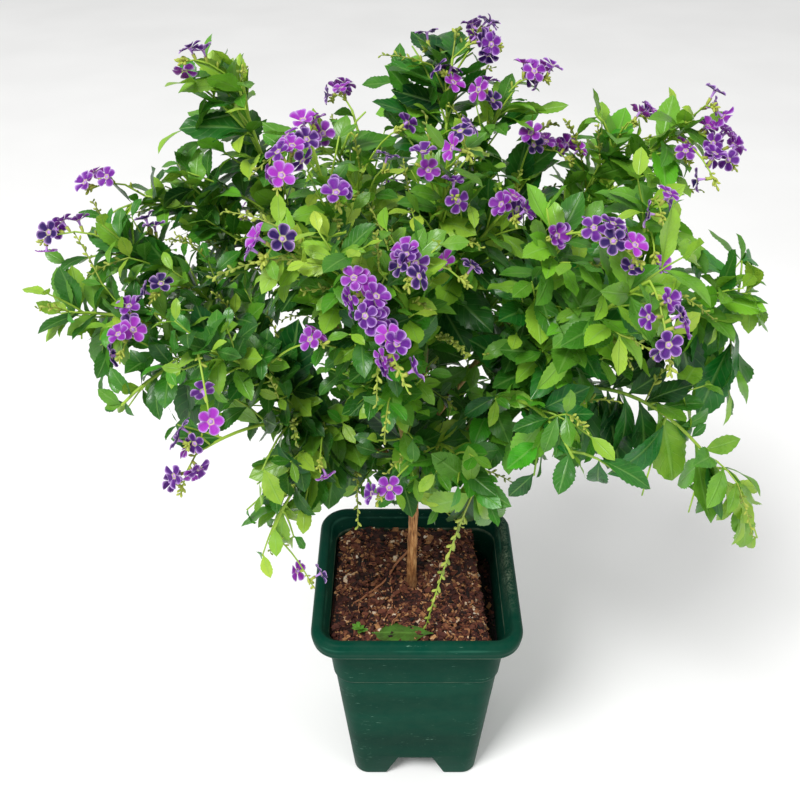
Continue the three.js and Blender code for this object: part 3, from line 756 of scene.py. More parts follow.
@dataclass(frozen=True)
class Crumb(Finish):
    """Bark chips, coir and grit: each chip its own brown from the tone tag, with a rough broken face."""

    dark: str = "#120806"
    red: str = "#48211a"
    brown: str = "#74412c"
    tan: str = "#bb8856"
    pale: str = "#e6d8c2"
    grain: float = 500.0

    def paint(self, node: AddNode) -> dict:
        """Adds the chips' colours and their rough faces.

        Args:
            node: adds one node to the material.

        Returns:
            What the main shader takes.
        """
        tone = node("Attribute", out="Fac", attribute_name="tone")
        # Grit is about 2 mm across, coarser than the real dust, so that it shows
        place = node("TexCoord", out="Object")
        grit = node("TexNoise", {"Vector": place, "Scale": self.grain, "Detail": 4.0, "Roughness": 0.7})
        mixed = node("Math", (grit, 0.3, tone), operation="MULTIPLY_ADD")
        # Damp patches about 20 mm across are darker
        damp = node("TexNoise", {"Vector": place, "Scale": 45.0, "Detail": 3.0})
        mixed = node("Math", (damp, 0.7, mixed), operation="MULTIPLY_ADD")
        mixed = node("Math", (mixed, 0.5), operation="SUBTRACT")
        browns = ((0.05, self.dark), (0.35, self.red), (0.6, self.brown))
        colour = node("ValToRGB", (mixed,), (*browns, (0.82, self.tan), (0.97, self.pale)))
        bump = node("Bump", {"Strength": 0.8, "Distance": 0.0008, "Height": grit})
        return {"Base Color": colour, "Normal": bump}


@dataclass(frozen=True)
class MouldedPolypropylene(Finish):
    """Injection-moulded dark green polypropylene: waxy gloss, fine pale scratches, dust in its creases."""

    base: str = "#02392b"
    deep: str = "#033025"
    lit: str = "#054636"
    dust: str = "#93a48a"
    scratch: str = "#86b8a0"
    sheen_and_wear_colour: str = "#4d8d76"
    gloss: float = 0.035
    crease: float = 0.194
    collar: float = 0.1466
    inner_side: float = 0.076
    outer_side: float = 0.088

    def paint(self, node: AddNode) -> dict:
        """Adds the plastic's flow bands, scratches and dust.

        Args:
            node: adds one node to the material.

        Returns:
            What the main shader takes.
        """
        place = node("TexCoord", out="Object")
        aside, away, height = node("SeparateXYZ", (place,)).node.outputs
        # Flow bands lie level, some 40 mm apart
        banded = node("Mapping", {"Vector": place, "Scale": (5.0, 5.0, 25.0)})
        flow = node("TexNoise", {"Vector": banded, "Scale": 1.0, "Detail": 3.0})
        colour = node("ValToRGB", (flow,), ((0.3, self.deep), (0.52, self.base), (0.8, self.lit)))
        # Scratches are a few millimetres long and drawn about 0.4 mm wide, so that they show
        turn = {"Scale": (110.0, 110.0, 700.0), "Rotation": (0.5, 0.35, 0.2)}
        turned = node("Mapping", {"Vector": place, **turn})
        marks = node("TexNoise", {"Vector": turned, "Scale": 1.0, "Detail": 5.0, "Roughness": 0.7})
        # They crowd in patches some 35 mm across
        patches = node("TexNoise", {"Vector": place, "Scale": 28.0, "Detail": 2.0})
        marks = node("Math", (patches, 0.22, marks), operation="MULTIPLY_ADD")
        scratched = node("ValToRGB", (marks,), ((0.76, 0.0), (0.83, 0.42)))
        colour = node("MixRGB", (scratched, colour, self.scratch))
        # The lip is painted paler in patches, a painted highlight with some wear
        lip = self.band(node, height, 0.1985, 0.205, 0.2105)
        lip_sheen_and_wear = node("Math", (lip, patches), operation="MULTIPLY")
        lip_sheen_and_wear = node("ValToRGB", (lip_sheen_and_wear,), ((0.4, 0.0), (0.66, 0.42)))
        colour = node("MixRGB", (lip_sheen_and_wear, colour, self.sheen_and_wear_colour))
        # Grime lies in patches some 17 mm across
        grime = node("TexNoise", {"Vector": place, "Scale": 60.0, "Detail": 6.0, "Roughness": 0.75})
        # Pale dust lies in the crease under the rim and on the collar's step
        creases = self.band(node, height, self.crease - 0.003, self.crease, self.crease + 0.0014)
        steps = self.band(node, height, self.collar - 0.001, self.collar, self.collar + 0.0012)
        lines = node("Math", (creases, steps), operation="ADD")
        # Splashed grit has dried on the inner side of the right-hand wall
        middle = (self.inner_side + self.outer_side) / 2
        inside = self.band(node, aside, self.inner_side, middle, self.outer_side)
        high = node("MapRange", (height, 0.184, 0.192))
        back = node("MapRange", (away, -0.055, 0.0))
        splash = node("Math", (inside, high), operation="MULTIPLY")
        # Dried grit is about 1.5 mm across
        grit = node("TexNoise", {"Vector": place, "Scale": 650.0, "Detail": 3.0})
        grit = node("ValToRGB", (grit,), ((0.42, 0.15), (0.6, 1.0)))
        splash = node("Math", (splash, grit), operation="MULTIPLY")
        dusty = node("Math", (splash, back, lines), operation="MULTIPLY_ADD")
        dusty = node("Math", (dusty, 0.7, 0.02), operation="MULTIPLY_ADD")
        speckled = node("ValToRGB", (grime,), ((0.38, 0.1), (0.62, 1.0)))
        dusty = node("Math", (dusty, speckled), operation="MULTIPLY", use_clamp=True)
        colour = node("MixRGB", (dusty, colour, self.dust))
        rough = node("ValToRGB", (grime,), ((0.3, self.roughness - 0.06), (0.75, self.roughness + 0.14)))
        relief = node("Math", (marks, 0.3, flow), operation="MULTIPLY_ADD")
        bump = node("Bump", {"Strength": 0.25, "Distance": 0.001, "Height": relief})
        gloss = {"Specular IOR Level": self.gloss}
        return {"Base Color": colour, "Roughness": rough, "Normal": bump, **gloss}

    def band(
        self, node: AddNode, value: bpy.types.NodeSocket, low: float, middle: float, high: float
    ) -> bpy.types.NodeSocket:
        """Adds a soft band that is 1 in the middle of a range and 0 outside it.

        Args:
            node: adds one node to the material.
            value: what the range is of.
            low: where the band starts.
            middle: where it is full.
            high: where it ends.

        Returns:
            The band.
        """
        rise = node("MapRange", (value, low, middle))
        fall = node("MapRange", (value, high, middle))
        return node("Math", (rise, fall), operation="MULTIPLY")


@dataclass(frozen=True)
class PaleFloor(Finish):
    """Matt white studio board, very slightly uneven."""

    white: str = "#fbfbfa"
    shade: str = "#f6f6f5"

    def paint(self, node: AddNode) -> dict:
        """Adds the board's faint unevenness, in clouds some 300 mm across.

        Args:
            node: adds one node to the material.

        Returns:
            What the main shader takes.
        """
        place = node("TexCoord", out="Object")
        cloud = node("TexNoise", {"Vector": place, "Scale": 3.0, "Detail": 2.0})
        colour = node("ValToRGB", (cloud,), ((0.3, self.shade), (0.7, self.white)))
        return {"Base Color": colour}


class Palette(Enum):
    """Every finish on the part, named for its real material."""

    # Green blades that shine a little and let some light through
    LEAF = LeafCuticle("waxy_leaf_cuticle", 0.31)
    # A duller blade that dries to brown in places
    FALLEN = LeafCuticle(
        "dry_fallen_leaf",
        0.5,
        glow_share=0.05,
        deep="#2a1c0a",
        mid="#4c8420",
        fresh="#8fae3c",
        vein="#6c9a3c",
    )
    # Matt green lines that hold the leaves together
    STEM = GreenSkin("green_stem_skin", 0.5)
    # Pale yellow-green cups and buds that stand out against the leaves
    CALYX = GreenSkin(
        "pale_calyx_skin", 0.55, young="#a8b548", grown="#7f9432", woody="#606f28", grain=400.0
    )
    # Soft deep violet with a pale rim round each petal
    PETAL = PetalVelvet("velvety_violet_petal", 0.6, 1.4)
    # A pale neck that joins the petals to the cup
    LILAC = GreenSkin(
        "pale_lilac_tube", 0.55, 1.4, young="#b98ad8", grown="#c9b0a0", woody="#b9b46a", grain=300.0
    )
    # Warm tan wood with fine streaks, damp and dark at the foot
    BARK = SmoothBark("smooth_tan_bark", 0.62)
    # Reddish threads that show on the dark mix
    ROOT = GreenSkin(
        "reddish_root_skin", 0.7, young="#d09a6a", grown="#a66d49", woody="#7a4a32", grain=350.0
    )
    # Rough browns from near black to cream, without any shine
    CRUMB = Crumb("bark_and_coir_crumb", 0.85)
    # Dark green with a soft waxy sheen, scratched and dusty
    PLASTIC = MouldedPolypropylene("moulded_polypropylene", 0.38, 1.49)
    # A bright even ground that takes a soft shadow
    BOARD = PaleFloor("matt_white_board", 0.9)


@cache
def material(finish: Palette) -> bpy.types.Material:
    """Gives a finish's material, which is made the first time it is asked for."""
    return finish.value.make()


def settle(piece: bpy.types.Object, slot: str, *nodes: str) -> bpy.types.Object:
    """Makes a finished piece ride and stand for its CAD nodes, and reports it.

    Args:
        piece: the finished piece.
        slot: the record's material slot, not used.
        nodes: the CAD nodes it replaces.

    Returns:
        The piece.
    """
    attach(piece, BODY)
    if nodes:
        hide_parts(*nodes)
    log.info("%s: %d faces", piece.name, len(piece.data.polygons))
    return piece


# The pot


def square_ring(half: float, corner: float, height: float, steps: int) -> np.ndarray:
    """Gives a rounded square as a ring of points.

    Args:
        half: half its width.
        corner: the radius of its corners.
        height: the height it lies at.
        steps: how many steps each corner has.

    Returns:
        The points, anticlockwise seen from above.
    """
    points = []
    for quarter, (x, y) in enumerate(((1, 1), (-1, 1), (-1, -1), (1, -1))):
        angles = (quarter + np.linspace(0, 1, steps + 1)) * math.pi / 2
        across = x * (half - corner) + corner * np.cos(angles)
        away = y * (half - corner) + corner * np.sin(angles)
        points.append(np.column_stack([across, away, np.full(steps + 1, height)]))
    return np.vstack(points)


@dataclass
class NurseryPot:
    """The square moulded pot with its rounded lip, collar, four corner feet and drainage holes."""

    base_half: float = 58.5
    taper: float = 0.0915
    wall: float = 1.8
    collar_from: float = 146.0
    collar_step: float = 1.2
    rim_under: float = 194.0
    rim_half: float = 90.0
    base_corner: float = 14.0
    wall_corner: float = 20.0
    rim_corner: float = 26.0
    corner_steps: int = 12
    base_round: float = 1.6
    tunnel_top_half: float = 16.0
    tunnel_base_half: float = 28.0
    tunnel_height: float = 26.0
    drain_radius: float = 5.0
    drain_offset: float = 36.0
    drain_sides: int = 24
    drain_below: float = 4.0
    drain_above: float = 8.0
    tunnel_reach: float = 110.0
    inner_floor: float = 150.0
    edge_bevel: float = 0.7
    wall_heights: tuple = (30.0, 60.0, 90.0, 120.0, 144.5, 146.0, 147.2, 148.6, 170.0, 191.0, 193.6)
    inner_heights: tuple = (198.0, 192.0, 170.0, 150.0)
    # How far in from the widest part, and how far above the rim's underside
    lip: tuple = (
        ((1.6, 0.0), (0.9, 2.4), (0.9, 4.4), (0.3, 5.6), (0.0, 7.5), (0.0, 10.0), (0.5, 12.4))
        + ((1.7, 14.4), (3.4, 15.6), (5.2, 16.0), (7.2, 15.8), (8.8, 14.8), (9.8, 13.4), (10.2, 12.0))
    )

    def half_at(self, height: float | np.ndarray) -> float | np.ndarray:
        """Gives half the outside width at a height."""
        above = (np.asarray(height) > self.collar_from + 0.5) * self.collar_step
        return self.base_half + self.taper * height + above

    def wall_ring(self, height: float, inset: float) -> np.ndarray:
        """Gives the wall's ring.

        Args:
            height: where it lies.
            inset: how far it is moved in.

        Returns:
            The ring's points.
        """
        share = height / self.rim_under
        corner = self.base_corner + (self.wall_corner - self.base_corner) * share
        return square_ring(self.half_at(height) - inset, corner - inset, height, self.corner_steps)

    def rings(self) -> list[np.ndarray]:
        """Gives every ring of the pot.

        Returns:
            The rings from the foot, over the lip, to the inside under the potting mix.
        """
        rings = [self.wall_ring(0.0, self.base_round * 0.7), self.wall_ring(0.5, self.base_round * 0.25)]
        rings += [self.wall_ring(height, 0.0) for height in (self.base_round, *self.wall_heights)]
        for inward, up in self.lip:
            half, corner = self.rim_half - inward, self.rim_corner - inward
            rings.append(square_ring(half, corner, self.rim_under + up, self.corner_steps))
        return rings + [self.wall_ring(height, self.wall) for height in self.inner_heights]

    def body(self) -> Patch:
        """Gives the closed body before the feet and drains are cut."""
        rings = self.rings()
        return capped(np.vstack(rings), len(rings[0]), [[0.0, 0.0, 0.0], [0.0, 0.0, self.inner_floor]])

    def cutters(self) -> list[Patch]:
        """Gives what is cut out of the body.

        Returns:
            The two crossing tunnels and the four drain holes, as closed shapes.
        """
        shapes = []
        top, base, high = self.tunnel_top_half, self.tunnel_base_half, self.tunnel_height
        outline = np.array([[-base - 0.5, -1.0], [base + 0.5, -1.0], [top, high], [-top, high]])
        faces = np.vstack([grid_faces(2, 4, True), [[3, 2, 1, 0]], [[4, 5, 6, 7]]])
        for turned in (False, True):
            ends = []
            for end in (-self.tunnel_reach, self.tunnel_reach):
                along = np.full(4, end)
                columns = [along, outline[:, 0]] if turned else [outline[:, 0], along]
                ends.append(np.column_stack([*columns, outline[:, 1]]))
            shapes.append(Patch(np.vstack(ends), faces if turned else faces[:, ::-1]))
        turns = 2 * math.pi * np.arange(self.drain_sides) / self.drain_sides
        heights = (high - self.drain_below, high + self.drain_above)
        for x, y in ((1, 0), (-1, 0), (0, 1), (0, -1)):
            x, y = x * self.drain_offset, y * self.drain_offset
            across = x + self.drain_radius * np.cos(turns)
            away = y + self.drain_radius * np.sin(turns)
            rings = [np.column_stack([across, away, np.full(len(turns), height)]) for height in heights]
            shapes.append(capped(np.vstack(rings), len(turns), [[x, y, height] for height in heights]))
        return shapes

    def build(self) -> bpy.types.Object:
        """Makes the pot and puts it in place of the CAD node.

        Returns:
            The pot.
        """
        pile = MeshPile()
        pile.add(self.body())
        pot = pile.build("nursery_pot", Palette.PLASTIC)
        holes = []
        for number, shape in enumerate(self.cutters()):
            cutting = MeshPile()
            cutting.add(shape)
            hole = cutting.build(f"cutter_{number}")
            holes.append(hole)
            cut = pot.modifiers.new(f"cut_{number}", "BOOLEAN")
            cut.operation = "DIFFERENCE"
            cut.solver = "EXACT"
            cut.object = hole
        bevel = pot.modifiers.new("edges", "BEVEL")
        bevel.limit_method = "ANGLE"
        bevel.angle_limit = math.radians(40)
        bevel.width = self.edge_bevel * MM
        bevel.segments = 2
        graph = bpy.context.evaluated_depsgraph_get()
        shaped = bpy.data.meshes.new_from_object(pot.evaluated_get(graph))
        pot.modifiers.clear()
        pot.data = shaped
        shaped.name = "nursery_pot"
        shaped.set_sharp_from_angle(angle=math.radians(50))
        for hole in holes:
            bpy.data.objects.remove(hole)
        return settle(pot, "pot_plastic", "pot")


# The potting mix


# A block's corners and its faces, turned outwards
BLOCK = np.array([[x, y, z] for z in (-1, 1) for x, y in ((-1, -1), (1, -1), (1, 1), (-1, 1))], float)
BLOCK_FACES = np.array([[3, 2, 1, 0], [4, 5, 6, 7], [0, 1, 5, 4], [1, 2, 6, 5], [2, 3, 7, 6], [3, 0, 4, 7]])


@dataclass
class PottingMix:
    """Coarse bark and coir mix with paler grains, shrunk away from the right-hand wall."""

    pot: NurseryPot
    level: float = 195.0
    bump: float = 1.8
    hollow_depth: float = 32.0
    hollow_from: float = 55.0
    hollow_width: float = 8.0
    hollow_slant: float = 0.05
    left_dip: float = 6.0
    rings: int = 84
    ring_steps: int = 24
    lump_height: float = 2.0
    clearance: float = 2.2
    chips: int = 11600
    fibres: int = 380
    grains: int = 34
    underside: float = 152.0

    def height(self, x: np.ndarray, y: np.ndarray) -> np.ndarray:
        """Gives the height of the mix with its lumps.

        Args:
            x: how far to the right the places are.
            y: how far away they are.

        Returns:
            The height at each place.
        """
        lumps = np.sin(x * 0.31 + 1.3) * np.sin(y * 0.27 + 0.4) + 0.7 * np.sin(x * 0.13 - y * 0.19 + 2)
        edge = self.hollow_from - self.hollow_slant * y
        hollow = self.hollow_depth * smoothstep(x - edge, 0.0, self.hollow_width)
        dip = self.left_dip * smoothstep(-x, 60.0, 76.0)
        crumb = self.lump_height * ripple(x, y, 0 * x, 9.0, SOIL_SEED)
        return self.level + self.bump * lumps - hollow - dip + crumb - 0.6

    def reach(self, height: np.ndarray) -> np.ndarray:
        """Gives how far the mix may reach sideways at a height, inside the wall."""
        return self.pot.half_at(height) - self.clearance

    def ground(self) -> Patch:
        """Makes the mix without its chips.

        Returns:
            Its top, with a skirt down the wall and a flat underside.
        """
        outline = square_ring(1.0, 0.24, 0.0, self.ring_steps)[:, :2]
        size = len(outline)
        shares = np.linspace(0.02, 1.0, self.rings)
        flat = (shares[:, None, None] * outline[None]).reshape(-1, 2)
        wide = self.reach(self.level)
        x, y = flat[:, 0] * wide, flat[:, 1] * wide
        high = self.height(x, y)
        narrow = self.reach(high) / wide
        x, y = x * narrow, y * narrow
        top = np.column_stack([x, y, high])
        skirt = np.column_stack([outline * self.reach(self.underside), np.full(size, self.underside)])
        middle = self.height(np.zeros(1), np.zeros(1))[0]
        return capped(np.vstack([top, skirt]), size, [[0.0, 0.0, middle], [0.0, 0.0, self.underside]])

    def scatter(self, rng: np.random.Generator, count: int, margin: float) -> np.ndarray:
        """Gives seeded places on the mix.

        Args:
            rng: the seeded generator.
            count: how many places.
            margin: how far they keep from the wall.

        Returns:
            The places.
        """
        spread = rng.uniform(-1, 1, (count, 2)) * (self.reach(self.level) - margin)
        corner = np.abs(spread).min(1) > self.reach(self.level) - margin - 7
        spread[corner] *= 0.9
        high = self.height(spread[:, 0], spread[:, 1])
        narrow = (self.reach(high) - margin) / (self.reach(self.level) - margin)
        spread = spread * narrow[:, None]
        return np.column_stack([spread, self.height(spread[:, 0], spread[:, 1])])

    def chip(self, rng: np.random.Generator, place: np.ndarray, size: float) -> Patch:
        """Gives one broken chip of bark: a skewed block with uneven corners.

        Args:
            rng: the seeded generator.
            place: its middle.
            size: its length.

        Returns:
            The chip.
        """
        corners = BLOCK + rng.uniform(-0.35, 0.35, BLOCK.shape)
        corners *= np.array([size, size * rng.uniform(0.35, 0.75), size * rng.uniform(0.14, 0.34)]) / 2
        turn = rng.uniform(0, 2 * math.pi)
        along = unit(np.array([math.cos(turn), math.sin(turn), rng.uniform(-0.35, 0.35)]))
        facing = unit(np.array([*rng.uniform(-0.6, 0.6, 2), 1.0]))
        return Patch(set_in(corners, place, along, facing), BLOCK_FACES)

    def build(self) -> bpy.types.Object:
        """Makes the mix with its chips, fibres and grains, in place of the CAD node.

        Returns:
            The potting mix.
        """
        rng = np.random.default_rng(SOIL_SEED)
        pile = MeshPile()
        ground = self.ground()
        x, y, z = ground.points.T
        # Painted shade: the mix is painted darker where it lies 4 to 16 mm below its level, down in the
        # hollow by the right-hand wall
        shadow = 0.22 * smoothstep(-z, -self.level + 4.0, -self.level + 16.0)
        pile.add(ground, 0, 0.15 + 0.16 * ripple(x, y, z, 5.0, SOIL_SEED + 1) - shadow)
        fine = rng.uniform(1.6, 3.7, self.chips)
        sizes = np.where(rng.random(self.chips) < 0.88, fine, rng.uniform(3.2, 6.4, self.chips))
        places = self.scatter(rng, self.chips, 3.0)
        for place, size in zip(places, sizes):
            # Painted shade: chips down in the hollow are painted darker
            sunk = 0.3 if place[2] < self.level - 9 else 0.0
            warm = float(np.clip(rng.normal(0.43, 0.24) - sunk, 0.02, 0.88))
            place = place + UP * (0.4 + size * rng.uniform(0.0, 0.25))
            pile.add(self.chip(rng, place, size), 0, warm)
        for place in self.scatter(rng, self.fibres, 9.0):
            turn = rng.uniform(0, 2 * math.pi)
            reach = rng.uniform(3.0, 9.0) * np.array([math.cos(turn), math.sin(turn), 0.0])
            arch = Arch(place - reach / 2 + UP * 0.2, place + reach / 2 + UP * 0.6, rng.uniform(0.2, 1.1))
            pile.add(arch.tube(0.22, 0.12, 4), 0, float(rng.uniform(0.45, 0.85)))
        for place in self.scatter(rng, self.grains, 5.0):
            grain = self.chip(rng, place + UP * 0.8, rng.uniform(1.6, 3.4))
            pile.add(grain, 0, float(rng.uniform(0.85, 1.0)))
        mix = pile.build("potting_mix", Palette.CRUMB, sharp_angle=35.0)
        return settle(mix, "potting_mix", "soil")


# The woody frame


@dataclass(frozen=True)
class Limb:
    """A limb: the trunk height it leaves at, where it ends, and the rise of its arch, in millimetres."""

    height: float
    end: tuple
    rise: float


@dataclass(frozen=True)
class Stem:
    """A leafy stem: where it leaves its parent, its tip and rise, and its leaves' look and number."""

    parent: str
    at: float
    tip: tuple
    rise: float
    youth: float = 0.08
    size: float = 1.0
    droop: float = 0.0
    busy: float = 1.0


@dataclass(frozen=True)
class Spray:
    """A flower spray: the stem it leaves and how far along, its tip, and its open flowers."""

    parent: str
    at: float
    tip: tuple
    flowers: int
    crowding: float = 0.15
    tone: float | None = None


LIMBS = {
    "west": Limb(318, (-92, -42, 418), 6),
    "north_west": Limb(342, (-78, 56, 448), 4),
    "south": Limb(308, (-14, -88, 436), -6),
    "east": Limb(328, (84, -40, 424), 4),
    "north_east": Limb(352, (82, 50, 452), 2),
    "north": Limb(334, (-2, 92, 438), -4),
    "leader": Limb(394, (8, -6, 500), 0),
}

# Each stem that grows from a limb is a CAD node, and a fork belongs to the stem that bears it
STEMS = {
    "upper_left": Stem("north_west", 1, (-126, 36, 632), -8, 0.2, 1.05, 0.0, 0.75),
    "left_back": Stem("north_west", 0.72, (-200, 28, 556), 24, 0.08, 0.9, 0.0, 1.4),
    "back_left": Stem("north_west", 0.86, (-140, 162, 482), 30),
    "left_back_low": Stem("back_left", 0.24, (-206, 92, 412), 30, 0.08, 1.0, 0.3),
    "left": Stem("west", 0.8, (-216, -16, 540), 20, 0.1, 0.84, 0.0, 1.3),
    "left_low": Stem("west", 1, (-246, -58, 506), 24, 0.2, 0.85, 0.0, 0.85),
    "left_under": Stem("left_low", 0.3, (-204, -96, 456), 12, 0.15, 0.85, 0.2, 0.6),
    "left_front": Stem("west", 0.74, (-140, -128, 520), 10, 0.12, 0.85),
    "low_left": Stem("west", 0.4, (-148, -110, 430), 22, 0.2, 0.9, 0.3, 0.8),
    "low_left_hanging": Stem("west", 0.26, (-112, -86, 330), 44, 0.18, 0.85, 0.4, 0.6),
    "front_left": Stem("south", 0.86, (-66, -90, 636), -6, 0.2, 0.85),
    "front_left_fork": Stem("front_left", 0.4, (-76, -122, 584), 6, 0.2, 0.85),
    "front": Stem("south", 1, (-52, -148, 594), 14, 0.15, 0.85),
    "front_upper": Stem("front", 0.16, (-8, -118, 578), 6, 0.25, 0.85),
    "low_front": Stem("south", 0.36, (38, -104, 386), 34, 0.35, 0.95, 0.4),
    "front_right": Stem("east", 0.7, (84, -100, 584), 8),
    "right_front": Stem("east", 0.86, (132, -134, 570), 12, 0.08, 1.15, 0.3),
    "low_right_front": Stem("east", 0.4, (98, -142, 446), 40, 0.0, 1.0, 0.7, 0.6),
    "right": Stem("east", 1, (240, -14, 498), 22, 0.12, 1.15, 0.3, 0.75),
    "right_fork": Stem("right", 0.42, (148, -46, 580), 6, 0.12, 1.1),
    "right_hanging": Stem("east", 1, (238, -92, 360), 46, 0.25, 1.05, 0.6, 0.2),
    "upper_right": Stem("north_east", 1, (146, 58, 586), 4, 0.08, 1.1),
    "upper_right_fork": Stem("upper_right", 0.4, (186, 32, 602), 10, 0.2),
    "right_inner": Stem("north_east", 0.6, (76, 56, 576), 0, 0.15),
    "back_right": Stem("north_east", 0.8, (146, 160, 478), 30),
    "right_back_low": Stem("back_right", 0.26, (206, 94, 404), 34, 0.08, 1.2, 0.5),
    "top": Stem("leader", 1, (22, 50, 648), -6, 0.15),
    "top_right": Stem("leader", 0.8, (58, 40, 624), 4, 0.15),
    "top_left": Stem("leader", 0.55, (-58, -14, 608), 0, 0.25, 0.9),
    "top_front": Stem("leader", 0.3, (16, -66, 628), 0, 0.25, 0.9),
    "centre_right": Stem("top_front", 0.3, (52, -58, 580), 4, 0.2),
    "back": Stem("north", 1, (-24, 168, 500), 24),
    "back_low": Stem("back", 0.24, (56, 176, 372), 36, 0.08, 1.0, 0.4),
    "back_top": Stem("north", 0.7, (-52, 118, 590), 4),
}

SPRAYS = {
    "upper_left": Spray("upper_left", 1, (-162, 26, 652), 3),
    "left_back": Spray("left_back", 1, (-236, 14, 566), 3),
    "left": Spray("left", 1, (-262, -26, 544), 4),
    "left_low": Spray("left_low", 0.62, (-196, -108, 500), 3),
    "left_front": Spray("left_front", 1, (-130, -160, 480), 2),
    "left_front_side": Spray("left_front", 0.55, (-60, -146, 534), 2),
    "low_left": Spray("low_left", 1, (-166, -122, 400), 4),
    "low_left_hanging": Spray("low_left_hanging", 1, (-84, -80, 270), 2),
    "front_left": Spray("front_left", 1, (-82, -138, 628), 7, 0.2, 0.5),
    "front_left_fork": Spray("front_left_fork", 1, (-92, -150, 590), 3),
    "front": Spray("front", 1, (-10, -200, 536), 9, 0.9, 0.6),
    "front_upper": Spray("front_upper", 1, (-10, -160, 580), 4),
    "front_low": Spray("low_front", 0.5, (-30, -132, 400), 2),
    "seed_buds": Spray("low_front", 1, (8, -64, 210), 0),
    "front_right": Spray("front_right", 1, (126, -132, 580), 8),
    "right_front": Spray("right_front", 1, (140, -178, 534), 6),
    "right_fork": Spray("right_fork", 1, (148, -84, 586), 3),
    "upper_right": Spray("upper_right", 1, (164, 58, 604), 2),
    "upper_right_fork": Spray("upper_right_fork", 1, (214, -6, 590), 8),
    "right_inner": Spray("right_inner", 1, (112, 46, 574), 5),
    "right_back_low": Spray("right_back_low", 1, (232, 104, 380), 3),
    "top": Spray("top", 1, (54, 40, 658), 6),
    "top_right": Spray("top_right", 1, (88, 38, 636), 5),
    "top_left": Spray("top_left", 1, (-76, -34, 622), 4),
    "top_front": Spray("top_front", 1, (26, -98, 632), 3),
    "centre_right": Spray("centre_right", 1, (56, -92, 588), 4),
    "back": Spray("back", 1, (-18, 196, 484), 4),
    "back_top": Spray("back_top", 1, (-70, 142, 590), 4),
    "back_right": Spray("back_right", 1, (170, 188, 452), 4),
    "back_left": Spray("back_left", 1, (-162, 188, 456), 4),
}


@dataclass(frozen=True)
class Twig:
    """A listed side twig: how far along its stem it leaves, its tip, and its leaves' look."""

    at: float
    tip: tuple
    youth: float = 0.15
    size: float = 0.95
    droop: float = 0.0
    busy: float = 1.0


TWIGS = {
    "upper_left": (
        Twig(0.45, (-167, 30, 573)),
        Twig(0.6, (-170, 40, 602), 0.1, 1.1),
        Twig(0.7, (-148, 40, 652), 0.45, 0.9),
        Twig(0.8, (-168, 36, 645), 0.5, 0.9),
        Twig(0.9, (-124, 40, 640), 0.1, 1.1),
    ),
    "top": (
        Twig(0.45, (-20, 50, 606), 0.1),
        Twig(0.6, (-17, 55, 632), 0.05, 1.15),
        Twig(0.75, (-6, 52, 656), 0.05, 1.1),
        Twig(0.9, (36, 50, 652)),
    ),
    "top_right": (Twig(0.9, (80, 40, 614), 0.2),),
    "top_left": (Twig(0.95, (-37, -10, 630), 0.3, 0.85),),
    "front_left": (Twig(0.95, (-80, -90, 642), 0.3, 0.85),),
    "right": (
        Twig(0.78, (214, -25, 457), 0.1, 1.3, 0.6),
        Twig(0.9, (234, -30, 422), 0.05, 1.35, 0.8),
        Twig(0.94, (232, -5, 520), 0.05, 1.3),
        Twig(0.97, (246, -14, 486), 0.6, 1.0, 0.2),
    ),
    "right_fork": (Twig(0.8, (186, -20, 543), 0.1, 1.1),),
    "right_hanging": (
        Twig(0.6, (160, -100, 380), 0.05, 1.2, 0.7, 0.5),
        Twig(0.8, (198, -95, 360), 0.2, 1.0, 0.7, 0.5),
        Twig(0.85, (240, -80, 372), 0.5, 1.0, 0.2, 0.5),
        Twig(0.97, (254, -94, 334), 0.7, 0.8, 0.2, 0.6),
    ),
    "low_right_front": (
        Twig(0.75, (74, -140, 430), 0.0, 0.85, 0.6),
        Twig(0.97, (134, -135, 424), 0.0, 1.1, 0.7),
    ),
    "upper_right": (Twig(0.95, (130, 60, 604), 0.2),),
    "upper_right_fork": (Twig(0.75, (182, 30, 571), 0.2),),
    "left": (Twig(0.85, (-252, -16, 522), 0.3, 0.8),),
    "left_back": (Twig(0.6, (-173, 28, 570), 0.1), Twig(0.9, (-228, 14, 545), 0.1, 0.9)),
    "left_low": (Twig(0.75, (-222, -60, 460), 0.35, 0.9, 0.6), Twig(0.9, (-236, -58, 486), 0.3, 0.8)),
    "low_left": (Twig(0.5, (-111, -105, 407), 0.2, 0.95, 0.2), Twig(0.25, (-96, -100, 400), 0.1, 1.0, 0.3)),
    "low_left_hanging": (
        Twig(0.5, (-118, -92, 384), 0.15, 0.9, 0.3, 0.8),
        Twig(0.75, (-128, -90, 358), 0.5, 0.9, 0.1, 0.8),
        Twig(0.85, (-120, -90, 312), 0.5, 0.8, 0.2, 0.7),
        Twig(0.6, (-86, -84, 356), 0.25, 0.85, 0.4, 0.8),
        Twig(0.9, (-96, -80, 322), 0.35, 0.75, 0.4, 0.7),
    ),
}


class SetLeaf(NamedTuple):
    """A listed leaf: how far along its stem it leaves, its tip in the photograph, youth and tone."""

    at: float
    column: float
    row: float
    depth: float
    youth: float
    tone: float
